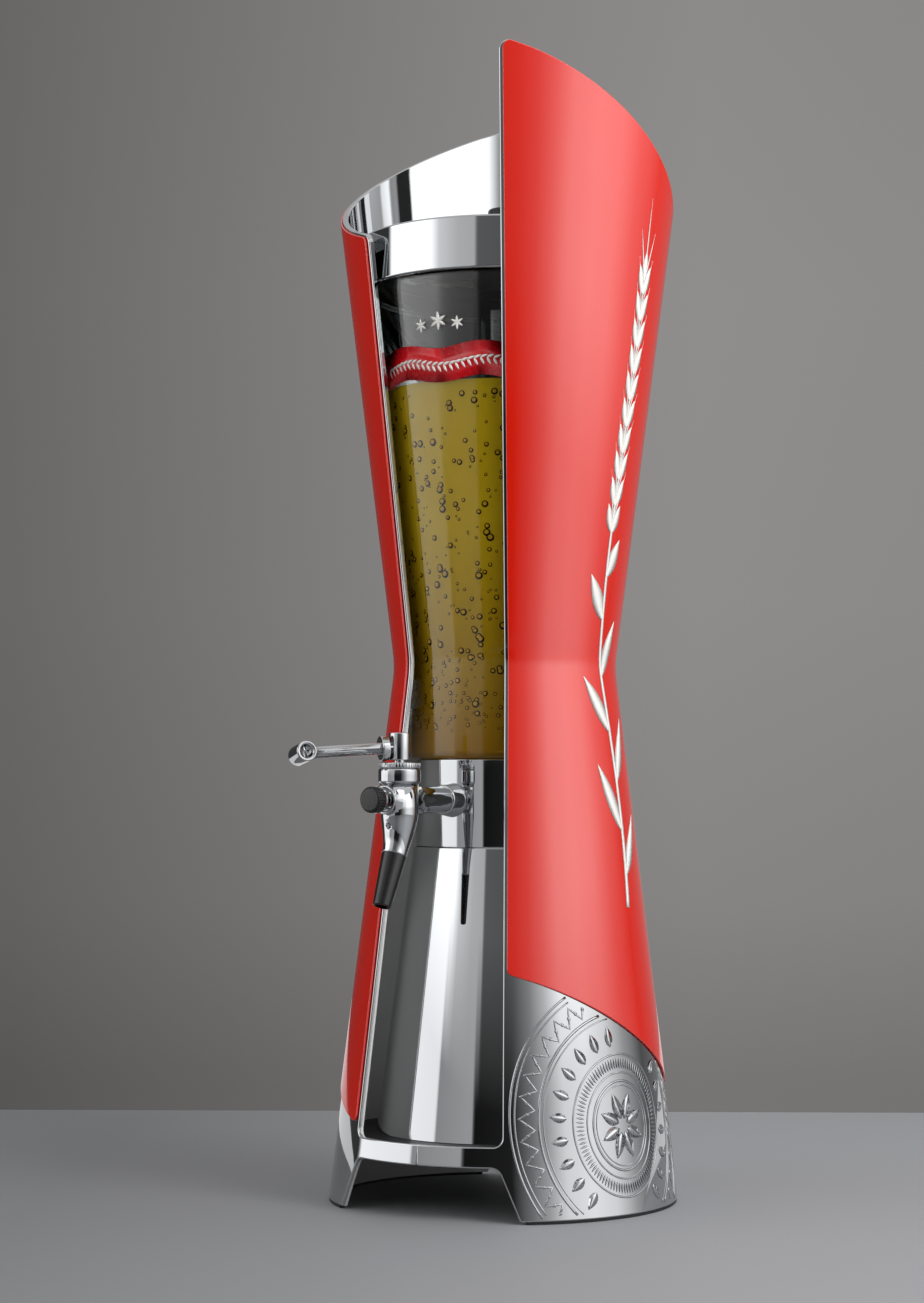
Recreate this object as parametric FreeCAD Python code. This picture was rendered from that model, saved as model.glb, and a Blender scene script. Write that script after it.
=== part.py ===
"""Table-top beer tower: hourglass half shells round a clear container, on a pedestal, with a rotary tap.

Millimetres, +Z up, origin where the tower's axis meets the table. The tap faces -Y.
An azimuth is counted from -Y towards +X. The right shell is on +X; the left one is the same piece turned
by 180 degrees.
"""
import FreeCAD, Part
import math
import os
from FreeCAD import Vector, Rotation, Placement

# --- Outer form: an hourglass of two straight cones ---
WAIST_R = 48.0            # radius of the panels' outer face at the waist, before the blend
WAIST_Z = 231.0
FLARE = 0.125             # radius gained per millimetre of height away from the waist
WAIST_BLEND = 45.0        # blend radius where the cones meet
CUT_TILT = 29.0           # degrees; slope of the shells' and panels' slanted ends
TOP_CUT_Z = 445.3         # where the slanted top plane crosses the axis
TOP_CORNER_R = 4.0

# --- Half shells, pressed and chromed ---
SHELL_T = 2.6
WINDOW_HALF = 29.2        # degrees from -Y (and from +Y) to a shell's upright edge
WINDOW_LEAN = 0.7         # degrees; above the waist the upright edges lean into the window
WINDOW_CORNER_R = 4.0
SILL_TOP_Z = 31.3
SILL_H = 8.6
NOTCH_SPREAD = 9.8        # how much further out the foot notch reaches at the table than at its top
NOTCH_TOP_OUT = -1.8      # notch corner, measured from the upright edge
NOTCH_CORNER_R = 5.0
LEDGE_W = 9.0
LEDGE_T = 2.5
LEDGE_START = 42.0        # degrees; where the inner ledge begins

# --- Lacquered panels on the shells ---
PANEL_T = 1.0             # how far the panel's face stands proud of the shell
PANEL_FILM = 0.1          # adhesive between panel and shell
PANEL_CUT_Z = 71.0        # where the panel's slanted lower plane crosses the axis
PANEL_SIDE_MARGIN = 1.5   # bare chrome left beside the panel
PANEL_TOP_MARGIN = 0.8
PANEL_CORNER_R = 3.0

# --- Feet, deck, ballast ---
FOOT_T = 1.2
FOOT_MARGIN = 0.3         # foot strip edge inside the shell's faces
FOOT_END_GAP = 1.5        # degrees between a strip's end and the notch
DECK_T = 3.0
DECK_SUNK = 1.3           # deck's top below the sill's top
DECK_GAP = 0.4
BALLAST_R = 44.0
BALLAST_H = 24.0
TIE_R = 4.0               # M8
TIE_HEAD_R = 7.0
TIE_HEAD_H = 5.0
TIE_NUT_AF = 13.0
TIE_NUT_H = 5.5
SCREW_R = 2.0             # M4
SCREW_HEAD_R = 3.6
SCREW_HEAD_H = 2.2
SCREW_BITE = 2.2          # thread length in the last piece
HOLE_GAP = 0.25           # radial clearance of a plain screw hole
FIT = 0.02                # radial clearance of a seated or screwed joint
RUN = 0.05                # radial running clearance

# --- Pedestal and neck ---
PEDESTAL_LIP = 1.2        # how far the pedestal's top stands out past the neck
PEDESTAL_TOP_Z = 153.0
PEDESTAL_WALL = 1.6
PEDESTAL_PLATE = 2.4
FLANGE_W = 8.0
FLANGE_T = 3.0
NECK_R = 38.5
NECK_WALL = 1.8
NECK_FLOOR = 3.0
NECK_H = 37.6

# --- Container ---
JAR_STEP = 2.0            # how far the straight part above the neck stands out past it
JAR_WALL = 2.4
JAR_LIFT = 9.2            # from the neck's foot to the container's bottom
JAR_FLOOR = 2.6
JAR_NECK_GAP = 0.4
JAR_SHOULDER = 3.0
JAR_STRAIGHT_H = 43.4     # from the neck's rim to where the container begins to widen
JAR_CONE_H = 156.0
JAR_RIM_H = 17.0
JAR_BEAD_H = 6.0          # thickened rim that centres the lid
JAR_BEAD_GAP = 0.4
SPACER_W = 11.0
SPACER_H = 12.0
SPACER_DROP = 18.0        # from the waist down to the pads' lower side

# --- Lid and ice tube ---
LID_GAP = 1.6             # between the container's wall and the lid's ring
LID_WALL = 2.0
LID_SKIRT = 14.0          # how far the ring reaches down past the container's rim
LID_H = 22.0
LID_EDGE_R = 0.9
GASKET_T = 2.0
LID_PLATE_T = 3.0
HUB_WALL = 1.6
HUB_ABOVE = 5.0
TUBE_R = 12.6
TUBE_WALL = 1.6
TUBE_L = 200.0
TUBE_THREAD = 12.0
CAP_R = 17.0
CAP_T = 4.0
CAP_GRIP_R = 8.0
CAP_GRIP_H = 9.0
CAP_PLUG_GAP = 0.3
CAP_PLUG_L = 9.0
CAP_SEAL_R = 0.9

# --- Tap: the axis of its body is upright; it is drawn facing -Y and then turned by its azimuth ---
TAP_AZIMUTH = -6.0        # degrees; the tap stands a little to the left of the window's middle
TAP_Y = -74.7
INLET_RISE = 20.3         # from the neck's foot to the shank's axis
SHANK_R = 5.6
SHANK_BORE_R = 3.6
SHANK_INSIDE = 8.0        # how far the shank reaches past the container's wall
SHANK_NUT_AF = 15.0
SHANK_NUT_H = 4.0
WASHER_R = 7.6
WASHER_T = 2.4
ROSETTE_R = 7.4
ROSETTE_L = 7.0
ROSETTE_NOSE_R = 6.3
TAP_R = 7.9
TAP_ABOVE_INLET = 6.8
SOCKET_R = 6.4
SOCKET_L = 3.4
BOSS_R = 6.0
BOSS_L = 3.0              # how far the front boss stands out of the body
SPOUT_BELOW_INLET = 4.0   # where the body begins to bend and narrow into the spout
SPOUT_END_R = 5.2
SPOUT_BEND_R = 51.6
SPOUT_ANGLE = 21.5
SPOUT_BORE_START = 0.15   # share of the bend above the spout's bore
SPOUT_BORE_R = 2.8
VENT_R = 0.7              # air hole in front of the spout
VENT_RIM_R = 1.2
VENT_RIM_L = 1.6
VENT_BELOW_INLET = 10.7
SPIGOT_R = 3.7
SPIGOT_L = 13.0
NOZZLE_TOP_R = 5.2
NOZZLE_TIP_R = 3.8
NOZZLE_L = 22.4
NOZZLE_BORE_R = 2.9
BODY_NECK_R = 5.8         # thread on top of the body, inside the bonnet
BODY_NECK_H = 2.2
BONNET_R = 8.8
BONNET_H = 6.2
RING_R = 8.5
RING_H = 2.4
RING_SPIGOT_R = 5.5
RING_SPIGOT_H = 2.0
EDGE_R = 0.5              # small rounding of turned parts

# --- Valve and lever ---
PLUG_R = 3.0
PLUG_BELOW_INLET = 3.8
PORT_R = 1.8
STEM_R = 2.2
STEM_IN_HUB = 1.6
SEAL_W = 1.6
SEAL_H = 1.6
HUB_R = 4.45
HUB_H = 11.4
HUB_GAP = 0.9
LEVER_TURN = 34.0         # degrees from straight ahead (shut) towards the tap's left, as it stands
LEVER_OPEN_TURN = 90.0    # degrees from shut to fully open
LEVER_DROP = 3.8          # degrees below level
LEVER_REACH = 41.8        # from the tap's axis to the barrel's axis
LEVER_ABOVE_BONNET = 6.2  # rod axis above the bonnet ring
ROD_R = 2.5
ROD_PAST_AXIS = 2.7
ROD_SHORT = 0.5           # how far the rod stops before the barrel's axis
COLLAR_R = 5.2
COLLAR_L = 3.2
COLLAR_GAP = 0.9
BARREL_R = 4.2
BARREL_L = 14.0
BARREL_TWIST = 8.0        # degrees; the barrel's front end stands a little higher
BARREL_DISH_R = 2.9
BARREL_DISH_L = 2.4
HUB_SCREW_R = 1.25
HUB_SCREW_HEAD_R = 2.3
HUB_SCREW_HEAD_H = 1.6
HUB_SCREW_BITE = 5.0

# --- Flow regulator, along Y in front of the body ---
FLOW_STEM_R = 2.0
FLOW_STEM_SHOWN = 2.2
FLOW_COLLAR_R = 2.9       # keeps the stem behind the gland nut
FLOW_COLLAR_L = 0.8
CHAMBER_R = 3.4
SEAT_WALL = 0.9
SEAT_R = 1.4
DROP_R = 1.4              # drilling from the chamber down into the spout
GLAND_L = 3.2
GLAND_R = 4.2
FLOW_CUP_R = 5.5
FLOW_CUP_L = 2.6
KNOB_R = 5.2
KNOB_L = 4.4
KNOB_POCKET = 2.5
NEEDLE_R = 1.1
NEEDLE_HEAD_R = 1.5
NEEDLE_TIP_R = 0.5
NEEDLE_CONE_L = 1.0
NEEDLE_KEY_L = 0.6
NEEDLE_KEY_W = 1.0
NEEDLE_KEY_R = 3.7
NEEDLE_TAIL_L = 6.4
NEEDLE_OPEN = 0.72        # gap between needle tip and seat as it stands

FAR = 600.0               # larger than the whole tower, for cutting tools


# ---------------------------------------------------------------- helpers
def cylinder(radius, length, base, axis):
    return Part.makeCylinder(radius, length, base, axis)


def turned(points):
    """Solid of revolution about the tower's axis from (radius, z) corners."""
    corners = [Vector(0, -r, z) for r, z in points]
    face = Part.Face(Part.makePolygon(corners + corners[:1]))
    return face.revolve(Vector(), Vector(0, 0, 1), 360)


def rounded_wire(points, radii, place):
    """Closed wire through 2D points with tangent arcs; place maps (a, b) to space."""
    edges = []
    ends = []
    count = len(points)
    for i, (a, b) in enumerate(points):
        here = Vector(a, b, 0)
        before = Vector(*points[i - 1], 0)
        after = Vector(*points[(i + 1) % count], 0)
        radius = radii[i]
        if radius == 0:
            ends.append((here, here))
            continue
        to_before = (before - here).normalize()
        to_after = (after - here).normalize()
        half = to_before.getAngle(to_after) / 2
        reach = radius / math.tan(half)
        bisector = (to_before + to_after).normalize()
        middle = here + bisector * (radius / math.sin(half) - radius)
        start = here + to_before * reach
        end = here + to_after * reach
        edges.append(Part.Arc(place(start), place(middle), place(end)).toShape())
        ends.append((start, end))
    for i in range(count):
        start = ends[i][1]
        end = ends[(i + 1) % count][0]
        edges.append(Part.LineSegment(place(start), place(end)).toShape())
    return Part.Wire(Part.__sortEdges__(edges))


def hourglass_radius(z, inset):
    """Radius at height z of the face that lies inset inside the panels' outer face, away from the blend."""
    return WAIST_R - inset * math.hypot(1, FLARE) + FLARE * abs(z - WAIST_Z)


def hourglass_edges(inset, low_z, high_z):
    """Profile of that face from low_z to high_z: line, waist arc, line."""
    slope = math.atan(FLARE)
    blend = WAIST_BLEND + inset
    corner = hourglass_radius(WAIST_Z, inset)
    reach = blend * math.tan(slope)
    arc_r = corner + reach * math.sin(slope)
    arc_dz = reach * math.cos(slope)
    throat = corner + blend * (1 / math.cos(slope) - 1)
    low = Vector(0, -hourglass_radius(low_z, inset), low_z)
    arc_low = Vector(0, -arc_r, WAIST_Z - arc_dz)
    arc_mid = Vector(0, -throat, WAIST_Z)
    arc_high = Vector(0, -arc_r, WAIST_Z + arc_dz)
    high = Vector(0, -hourglass_radius(high_z, inset), high_z)
    return [
        Part.LineSegment(low, arc_low).toShape(),
        Part.Arc(arc_low, arc_mid, arc_high).toShape(),
        Part.LineSegment(arc_high, high).toShape(),
    ]


def hourglass_wall(outer_inset, inner_inset, low_z, high_z):
    """Half of a thin hourglass wall, from azimuth 0 through +X to 180."""
    outer = hourglass_edges(outer_inset, low_z, high_z)
    inner = hourglass_edges(inner_inset, low_z, high_z)
    foot = Part.LineSegment(inner[0].Vertexes[0].Point, outer[0].Vertexes[0].Point).toShape()
    head = Part.LineSegment(outer[2].Vertexes[1].Point, inner[2].Vertexes[1].Point).toShape()
    face = Part.Face(Part.Wire(Part.__sortEdges__(outer + [head, foot] + inner)))
    return face.revolve(Vector(), Vector(0, 0, 1), 180)


def tilted_block(axis_z, above):
    """Everything above or below the plane that crosses the axis at axis_z and rises towards -Y."""
    base_z = 0 if above else -FAR
    block = Part.makeBox(2 * FAR, 2 * FAR, FAR, Vector(-FAR, -FAR, base_z))
    block.Placement = Placement(Vector(0, 0, axis_z), Rotation(Vector(1, 0, 0), -CUT_TILT))
    return block


def edge_frame():
    """Directions of a shell's front upright edge: outwards along it in plan, and into the shell."""
    turn = math.radians(WINDOW_HALF)
    outward = Vector(math.sin(turn), -math.cos(turn), 0)
    inward = Vector(math.cos(turn), math.sin(turn), 0)
    return outward, inward


def edge_cutter(points, radii):
    """Prism across the shell wall; points are (distance into the shell from its upright edge, z)."""
    outward, inward = edge_frame()
    start = outward * (WAIST_R / 4)

    def place(p):
        return start + inward * p.x + Vector(0, 0, p.y)

    return Part.Face(rounded_wire(points, radii, place)).extrude(outward * (WAIST_R * 4))


def both_ends(tool):
    """The tool at the front edge and its mirror image at the back edge."""
    return [tool, tool.mirror(Vector(), Vector(0, 1, 0))]


def window_tools(margin):
    """What the window takes away beside a wall whose upright edge stands back by margin."""
    across = -2 * WAIST_R
    lean = math.tan(math.radians(WINDOW_LEAN)) * (FAR - WAIST_Z)
    points = [
        (across, SILL_TOP_Z),
        (margin, SILL_TOP_Z),
        (margin, WAIST_Z),
        (margin - lean, FAR),
        (across, FAR),
    ]
    return both_ends(edge_cutter(points, [0, WINDOW_CORNER_R, 0, 0, 0]))


def notch_tools():
    top_z = SILL_TOP_Z - SILL_H
    slope = NOTCH_SPREAD / top_z
    below = 4 * FOOT_T
    points = [
        (-2 * WAIST_R, -below),
        (NOTCH_TOP_OUT + NOTCH_SPREAD + slope * below, -below),
        (NOTCH_TOP_OUT, top_z),
        (-2 * WAIST_R, top_z),
    ]
    return both_ends(edge_cutter(points, [0, 0, NOTCH_CORNER_R, 0]))


def half_space(margin, planes, corner_r):
    """Room for one half's wall: between its windows and its slanted planes, with the corners rounded.

    planes are (height where the plane crosses the axis, whether the room above it is taken away).
    """
    room = Part.makeBox(FAR, 2 * FAR, 2 * FAR, Vector(0, -FAR, -FAR))
    room = room.cut(window_tools(margin) + [tilted_block(axis_z, above) for axis_z, above in planes])
    outward = edge_frame()[0]
    rise = math.tan(math.radians(CUT_TILT))
    corners = []
    for edge in room.Edges:
        ends = [v.Point for v in edge.Vertexes]
        along = (ends[1] - ends[0]).normalize()
        beside_window = abs(abs(along.x * outward.y) - abs(along.y * outward.x)) < 0.05
        for axis_z, _ in planes:
            on_plane = all(abs(p.z - axis_z + rise * p.y) < 0.01 for p in ends)
            if on_plane and beside_window:
                corners.append(edge)
    return room.makeFillet(corner_r, corners)


def half_turn(shape):
    """The same piece on the other side of the tower."""
    copy = shape.copy()
    copy.rotate(Vector(), Vector(0, 0, 1), 180)
    return copy


def around(angles, radius):
    """Points at azimuths on a circle about the axis."""
    turns = [math.radians(a) for a in angles]
    return [Vector(radius * math.sin(t), -radius * math.cos(t), 0) for t in turns]


def hexagon(across_flats, height, base, axis, spin):
    """Hexagonal prism with its foot centred on base."""
    corner_r = across_flats / math.sqrt(3)
    turns = [math.radians(60 * i + spin) for i in range(6)]
    corners = [Vector(corner_r * math.cos(t), corner_r * math.sin(t), 0) for t in turns]
    prism = Part.Face(Part.makePolygon(corners + corners[:1])).extrude(Vector(0, 0, height))
    prism.Placement = Placement(base, Rotation(Vector(0, 0, 1), axis))
    return prism


def soften(solid, radius, picks):
    """Round the circular edges that match one of picks: (place along the axis, axis, radius)."""
    chosen = []
    for edge in solid.Edges:
        curve = edge.Curve
        if not isinstance(curve, Part.Circle):
            continue
        for level, axis, edge_r in picks:
            if abs(curve.Center.dot(axis) - level) < 0.01 and abs(curve.Radius - edge_r) < 0.01:
                chosen.append(edge)
    return solid.makeFillet(radius, chosen)


UP = Vector(0, 0, 1)
AHEAD = Vector(0, -1, 0)
WALL_HEAD_Z = FAR * 0.9   # the walls are made this tall before their slanted cut
INNER_FACE = PANEL_T + SHELL_T
DECK_TOP_Z = SILL_TOP_Z - DECK_SUNK
DECK_Z = DECK_TOP_Z - DECK_T
LEDGE_R = hourglass_radius(DECK_Z, INNER_FACE) - LEDGE_W / 2
DECK_SCREW_AZIMUTHS = [55, 90, 125, 235, 270, 305]
PEDESTAL_SCREW_AZIMUTHS = [45, 135, 225, 315]
PEDESTAL_TOP_R = NECK_R + PEDESTAL_LIP
PEDESTAL_FOOT_R = PEDESTAL_TOP_R + FLARE * (PEDESTAL_TOP_Z - DECK_TOP_Z)
PEDESTAL_SCREW_R = PEDESTAL_FOOT_R - PEDESTAL_WALL - FLANGE_W / 2
NECK_IN_R = NECK_R - NECK_WALL
NECK_FLOOR_Z = PEDESTAL_TOP_Z + NECK_FLOOR
NECK_TOP_Z = PEDESTAL_TOP_Z + NECK_H
JAR_R = NECK_R + JAR_STEP
JAR_BOTTOM_Z = PEDESTAL_TOP_Z + JAR_LIFT
JAR_FOOT_R = NECK_IN_R - JAR_NECK_GAP
JAR_FOOT_IN_R = JAR_FOOT_R - JAR_WALL
JAR_CONE_Z = NECK_TOP_Z + JAR_STRAIGHT_H
JAR_CONE_TOP_Z = JAR_CONE_Z + JAR_CONE_H
JAR_RIM_Z = JAR_CONE_TOP_Z + JAR_RIM_H
JAR_TOP_R = JAR_R + FLARE * JAR_CONE_H
SPACER_Z = WAIST_Z - SPACER_DROP
LID_IN_R = JAR_TOP_R + LID_GAP
LID_R = LID_IN_R + LID_WALL
LID_BOTTOM_Z = JAR_RIM_Z - LID_SKIRT
PLATE_Z = JAR_RIM_Z + GASKET_T
HUB_TOP_Z = PLATE_Z + LID_PLATE_T + HUB_ABOVE
TUBE_TOP_Z = LID_BOTTOM_Z + TUBE_THREAD
TUBE_BOTTOM_Z = TUBE_TOP_Z - TUBE_L
CAP_BORE_R = TUBE_R - TUBE_WALL
CAP_Z = HUB_TOP_Z
INLET_Z = PEDESTAL_TOP_Z + INLET_RISE
SHANK_END_Y = -(JAR_FOOT_IN_R - SHANK_INSIDE)
SHANK_NUT_FACE_Y = -(JAR_FOOT_IN_R - WASHER_T)
TAP_TOP_Z = INLET_Z + TAP_ABOVE_INLET
SPOUT_TOP_Z = INLET_Z - SPOUT_BELOW_INLET
VENT_Z = INLET_Z - VENT_BELOW_INLET
PLUG_BOTTOM_Z = INLET_Z - PLUG_BELOW_INLET
HUB_Z = TAP_TOP_Z + BONNET_H + RING_H + HUB_GAP
LEVER_Z = TAP_TOP_Z + BONNET_H + RING_H + LEVER_ABOVE_BONNET


# ---------------------------------------------------------------- shells and panels
def make_shell():
    wall = hourglass_wall(PANEL_T, INNER_FACE, FOOT_T, WALL_HEAD_Z)
    wall = wall.common(half_space(0, [(TOP_CUT_Z, True)], TOP_CORNER_R)).cut(notch_tools())
    inner_r = hourglass_radius(DECK_Z, INNER_FACE)
    inside = around([LEDGE_START], inner_r - LEDGE_W)[0]
    outside = around([LEDGE_START], inner_r + SHELL_T / 2)[0]
    low = UP * (DECK_Z - LEDGE_T)
    high = UP * DECK_Z
    outline = [inside + low, outside + low, outside + high, inside + high]
    ledge = Part.Face(Part.makePolygon(outline + outline[:1])).revolve(Vector(), UP, 180 - 2 * LEDGE_START)
    shell = wall.fuse(ledge)
    for spot in around(DECK_SCREW_AZIMUTHS[:3], LEDGE_R):
        shell = shell.cut(cylinder(SCREW_R + HOLE_GAP, 4 * LEDGE_T, spot + low - UP * LEDGE_T, UP))
    return shell.removeSplitter()


def make_panel():
    wall = hourglass_wall(0, PANEL_T - PANEL_FILM, SILL_TOP_Z, WALL_HEAD_Z)
    planes = [(TOP_CUT_Z - PANEL_TOP_MARGIN, True), (PANEL_CUT_Z, False)]
    return wall.common(half_space(PANEL_SIDE_MARGIN, planes, PANEL_CORNER_R))


def make_foot_strip():
    outer = hourglass_radius(FOOT_T, PANEL_T) - FOOT_MARGIN
    inner = hourglass_radius(FOOT_T, INNER_FACE) + FOOT_MARGIN
    notch_in = NOTCH_TOP_OUT + NOTCH_SPREAD
    start = WINDOW_HALF + math.degrees(math.asin(notch_in / inner)) + FOOT_END_GAP
    a, b = around([start], inner)[0], around([start], outer)[0]
    face = Part.Face(Part.makePolygon([a, b, b + UP * FOOT_T, a + UP * FOOT_T, a]))
    return face.revolve(Vector(), UP, 180 - 2 * start)


# ---------------------------------------------------------------- base
def screws(angles, circle_r, head_z, length):
    """Pan-head screws driven upwards; head_z is the underside that the heads bear on."""
    made = []
    for spot in around(angles, circle_r):
        head = cylinder(SCREW_HEAD_R, SCREW_HEAD_H, spot + UP * (head_z - SCREW_HEAD_H), UP)
        head = soften(head, EDGE_R * 2, [(head_z - SCREW_HEAD_H, UP, SCREW_HEAD_R)])
        made.append(head.fuse(cylinder(SCREW_R, length, spot + UP * head_z, UP)).removeSplitter())
    return Part.makeCompound(made)


def make_deck():
    deck = turned([
        (TIE_R + HOLE_GAP, DECK_Z),
        (hourglass_radius(DECK_Z, INNER_FACE) - DECK_GAP, DECK_Z),
        (hourglass_radius(DECK_TOP_Z, INNER_FACE) - DECK_GAP, DECK_TOP_Z),
        (TIE_R + HOLE_GAP, DECK_TOP_Z),
    ])
    holes = [cylinder(SCREW_R + FIT, SCREW_BITE + FIT, p + UP * DECK_Z, UP)
             for p in around(DECK_SCREW_AZIMUTHS, LEDGE_R)]
    holes += [cylinder(SCREW_R + HOLE_GAP, 3 * DECK_T, p + UP * (DECK_Z - DECK_T), UP)
              for p in around(PEDESTAL_SCREW_AZIMUTHS, PEDESTAL_SCREW_R)]
    return deck.cut(holes)


def make_ballast():
    ring = turned([
        (TIE_R + HOLE_GAP, DECK_TOP_Z),
        (BALLAST_R, DECK_TOP_Z),
        (BALLAST_R, DECK_TOP_Z + BALLAST_H),
        (TIE_R + HOLE_GAP, DECK_TOP_Z + BALLAST_H),
    ])
    return soften(ring, 4 * EDGE_R, [(DECK_TOP_Z + BALLAST_H, UP, BALLAST_R)])


def make_tie_rod():
    head = hexagon(2 * TIE_HEAD_R * math.cos(math.pi / 6), TIE_HEAD_H, UP * (DECK_Z - TIE_HEAD_H), UP, 0)
    shaft = cylinder(TIE_R, NECK_FLOOR_Z + TIE_NUT_H - DECK_Z, UP * DECK_Z, UP)
    return head.fuse(shaft).removeSplitter()


def make_tie_nut():
    nut = hexagon(TIE_NUT_AF, TIE_NUT_H, UP * NECK_FLOOR_Z, UP, 30)
    return nut.cut(cylinder(TIE_R + FIT, 2 * TIE_NUT_H, UP * (NECK_FLOOR_Z - 1), UP))


def make_pedestal():
    foot_in = PEDESTAL_FOOT_R - PEDESTAL_WALL
    top_in = PEDESTAL_TOP_R - PEDESTAL_WALL
    wall_at_flange = foot_in - FLARE * FLANGE_T
    under_plate = PEDESTAL_TOP_Z - PEDESTAL_PLATE
    cone = turned([
        (PEDESTAL_FOOT_R, DECK_TOP_Z),
        (PEDESTAL_TOP_R, PEDESTAL_TOP_Z),
        (TIE_R + HOLE_GAP, PEDESTAL_TOP_Z),
        (TIE_R + HOLE_GAP, under_plate),
        (top_in + FLARE * PEDESTAL_PLATE, under_plate),
        (wall_at_flange, DECK_TOP_Z + FLANGE_T),
        (foot_in - FLANGE_W, DECK_TOP_Z + FLANGE_T),
        (foot_in - FLANGE_W, DECK_TOP_Z),
    ])
    holes = [cylinder(SCREW_R + FIT, SCREW_BITE + FIT, p + UP * DECK_TOP_Z, UP)
             for p in around(PEDESTAL_SCREW_AZIMUTHS, PEDESTAL_SCREW_R)]
    return soften(cone.cut(holes), EDGE_R, [(PEDESTAL_TOP_Z, UP, PEDESTAL_TOP_R)])


def make_neck():
    cup = turned([
        (TIE_R + HOLE_GAP, PEDESTAL_TOP_Z),
        (NECK_R, PEDESTAL_TOP_Z),
        (NECK_R, NECK_TOP_Z),
        (NECK_IN_R, NECK_TOP_Z),
        (NECK_IN_R, NECK_FLOOR_Z),
        (TIE_R + HOLE_GAP, NECK_FLOOR_Z),
    ])
    cup = soften(cup, EDGE_R, [(PEDESTAL_TOP_Z, UP, NECK_R), (NECK_TOP_Z, UP, NECK_R)])
    return cup.cut(cylinder(SHANK_R + HOLE_GAP, NECK_R * 2, UP * INLET_Z, AHEAD))


# ---------------------------------------------------------------- container and lid
def make_container():
    in_r = JAR_R - JAR_WALL
    step_z = NECK_TOP_Z + JAR_SHOULDER
    jar = turned([
        (0, JAR_BOTTOM_Z),
        (JAR_FOOT_R, JAR_BOTTOM_Z),
        (JAR_FOOT_R, NECK_TOP_Z),
        (JAR_R, NECK_TOP_Z),
        (JAR_R, JAR_CONE_Z),
        (JAR_TOP_R, JAR_CONE_TOP_Z),
        (JAR_TOP_R, JAR_RIM_Z - JAR_BEAD_H),
        (LID_IN_R - JAR_BEAD_GAP, JAR_RIM_Z - JAR_BEAD_H),
        (LID_IN_R - JAR_BEAD_GAP, JAR_RIM_Z),
        (JAR_TOP_R - JAR_WALL, JAR_RIM_Z),
        (JAR_TOP_R - JAR_WALL, JAR_CONE_TOP_Z),
        (in_r, JAR_CONE_Z),
        (in_r, step_z),
        (JAR_FOOT_IN_R, step_z - (in_r - JAR_FOOT_IN_R)),
        (JAR_FOOT_IN_R, JAR_BOTTOM_Z + JAR_FLOOR),
        (0, JAR_BOTTOM_Z + JAR_FLOOR),
    ])
    jar = soften(jar, 2 * EDGE_R, [(JAR_BOTTOM_Z, UP, JAR_FOOT_R), (NECK_TOP_Z, UP, JAR_R)])
    jar = soften(jar, 8 * EDGE_R, [(JAR_CONE_Z, UP, JAR_R), (JAR_CONE_Z, UP, in_r)])
    return jar.cut(cylinder(SHANK_R + HOLE_GAP, NECK_R * 2, UP * INLET_Z, AHEAD))


def make_spacers():
    """Soft pads that centre the shells on the container just below the waist."""
    top_z = SPACER_Z + SPACER_H
    ring = turned([
        (JAR_R, SPACER_Z),
        (hourglass_radius(SPACER_Z, INNER_FACE), SPACER_Z),
        (hourglass_radius(top_z, INNER_FACE), top_z),
        (JAR_R, top_z),
    ])
    pads = []
    for azimuth in (60, 120, 240, 300):
        bar = Part.makeBox(WAIST_R * 2, SPACER_W, SPACER_H, Vector(0, -SPACER_W / 2, SPACER_Z))
        bar.rotate(Vector(), UP, azimuth - 90)
        pads.append(ring.common(bar))
    return Part.makeCompound(pads)


def make_lid_ring():
    top = LID_BOTTOM_Z + LID_H
    ring = turned([(LID_IN_R, LID_BOTTOM_Z), (LID_R, LID_BOTTOM_Z), (LID_R, top), (LID_IN_R, top)])
    return soften(ring, LID_EDGE_R, [(LID_BOTTOM_Z, UP, LID_R), (top, UP, LID_R)])


def make_lid_gasket():
    return turned([
        (JAR_TOP_R - JAR_WALL - 1, JAR_RIM_Z),
        (LID_IN_R - FIT, JAR_RIM_Z),
        (LID_IN_R - FIT, PLATE_Z),
        (JAR_TOP_R - JAR_WALL - 1, PLATE_Z),
    ])


def make_lid_plate():
    hub_r = TUBE_R + HUB_WALL
    top = PLATE_Z + LID_PLATE_T
    plate = turned([
        (TUBE_R + FIT, LID_BOTTOM_Z),
        (hub_r, LID_BOTTOM_Z),
        (hub_r, PLATE_Z),
        (LID_IN_R - FIT, PLATE_Z),
        (LID_IN_R - FIT, top),
        (hub_r, top),
        (hub_r, HUB_TOP_Z),
        (CAP_BORE_R, HUB_TOP_Z),
        (CAP_BORE_R, TUBE_TOP_Z + FIT),
        (TUBE_R + FIT, TUBE_TOP_Z + FIT),
    ])
    return soften(plate, EDGE_R, [(HUB_TOP_Z, UP, hub_r), (LID_BOTTOM_Z, UP, hub_r)])


def make_ice_tube():
    in_r = TUBE_R - TUBE_WALL
    dome_z = TUBE_BOTTOM_Z + TUBE_R
    outer = cylinder(TUBE_R, TUBE_TOP_Z - dome_z, UP * dome_z, UP).fuse(Part.makeSphere(TUBE_R, UP * dome_z))
    inner = cylinder(in_r, FAR, UP * dome_z, UP).fuse(Part.makeSphere(in_r, UP * dome_z))
    return outer.cut(inner).removeSplitter()


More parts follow.
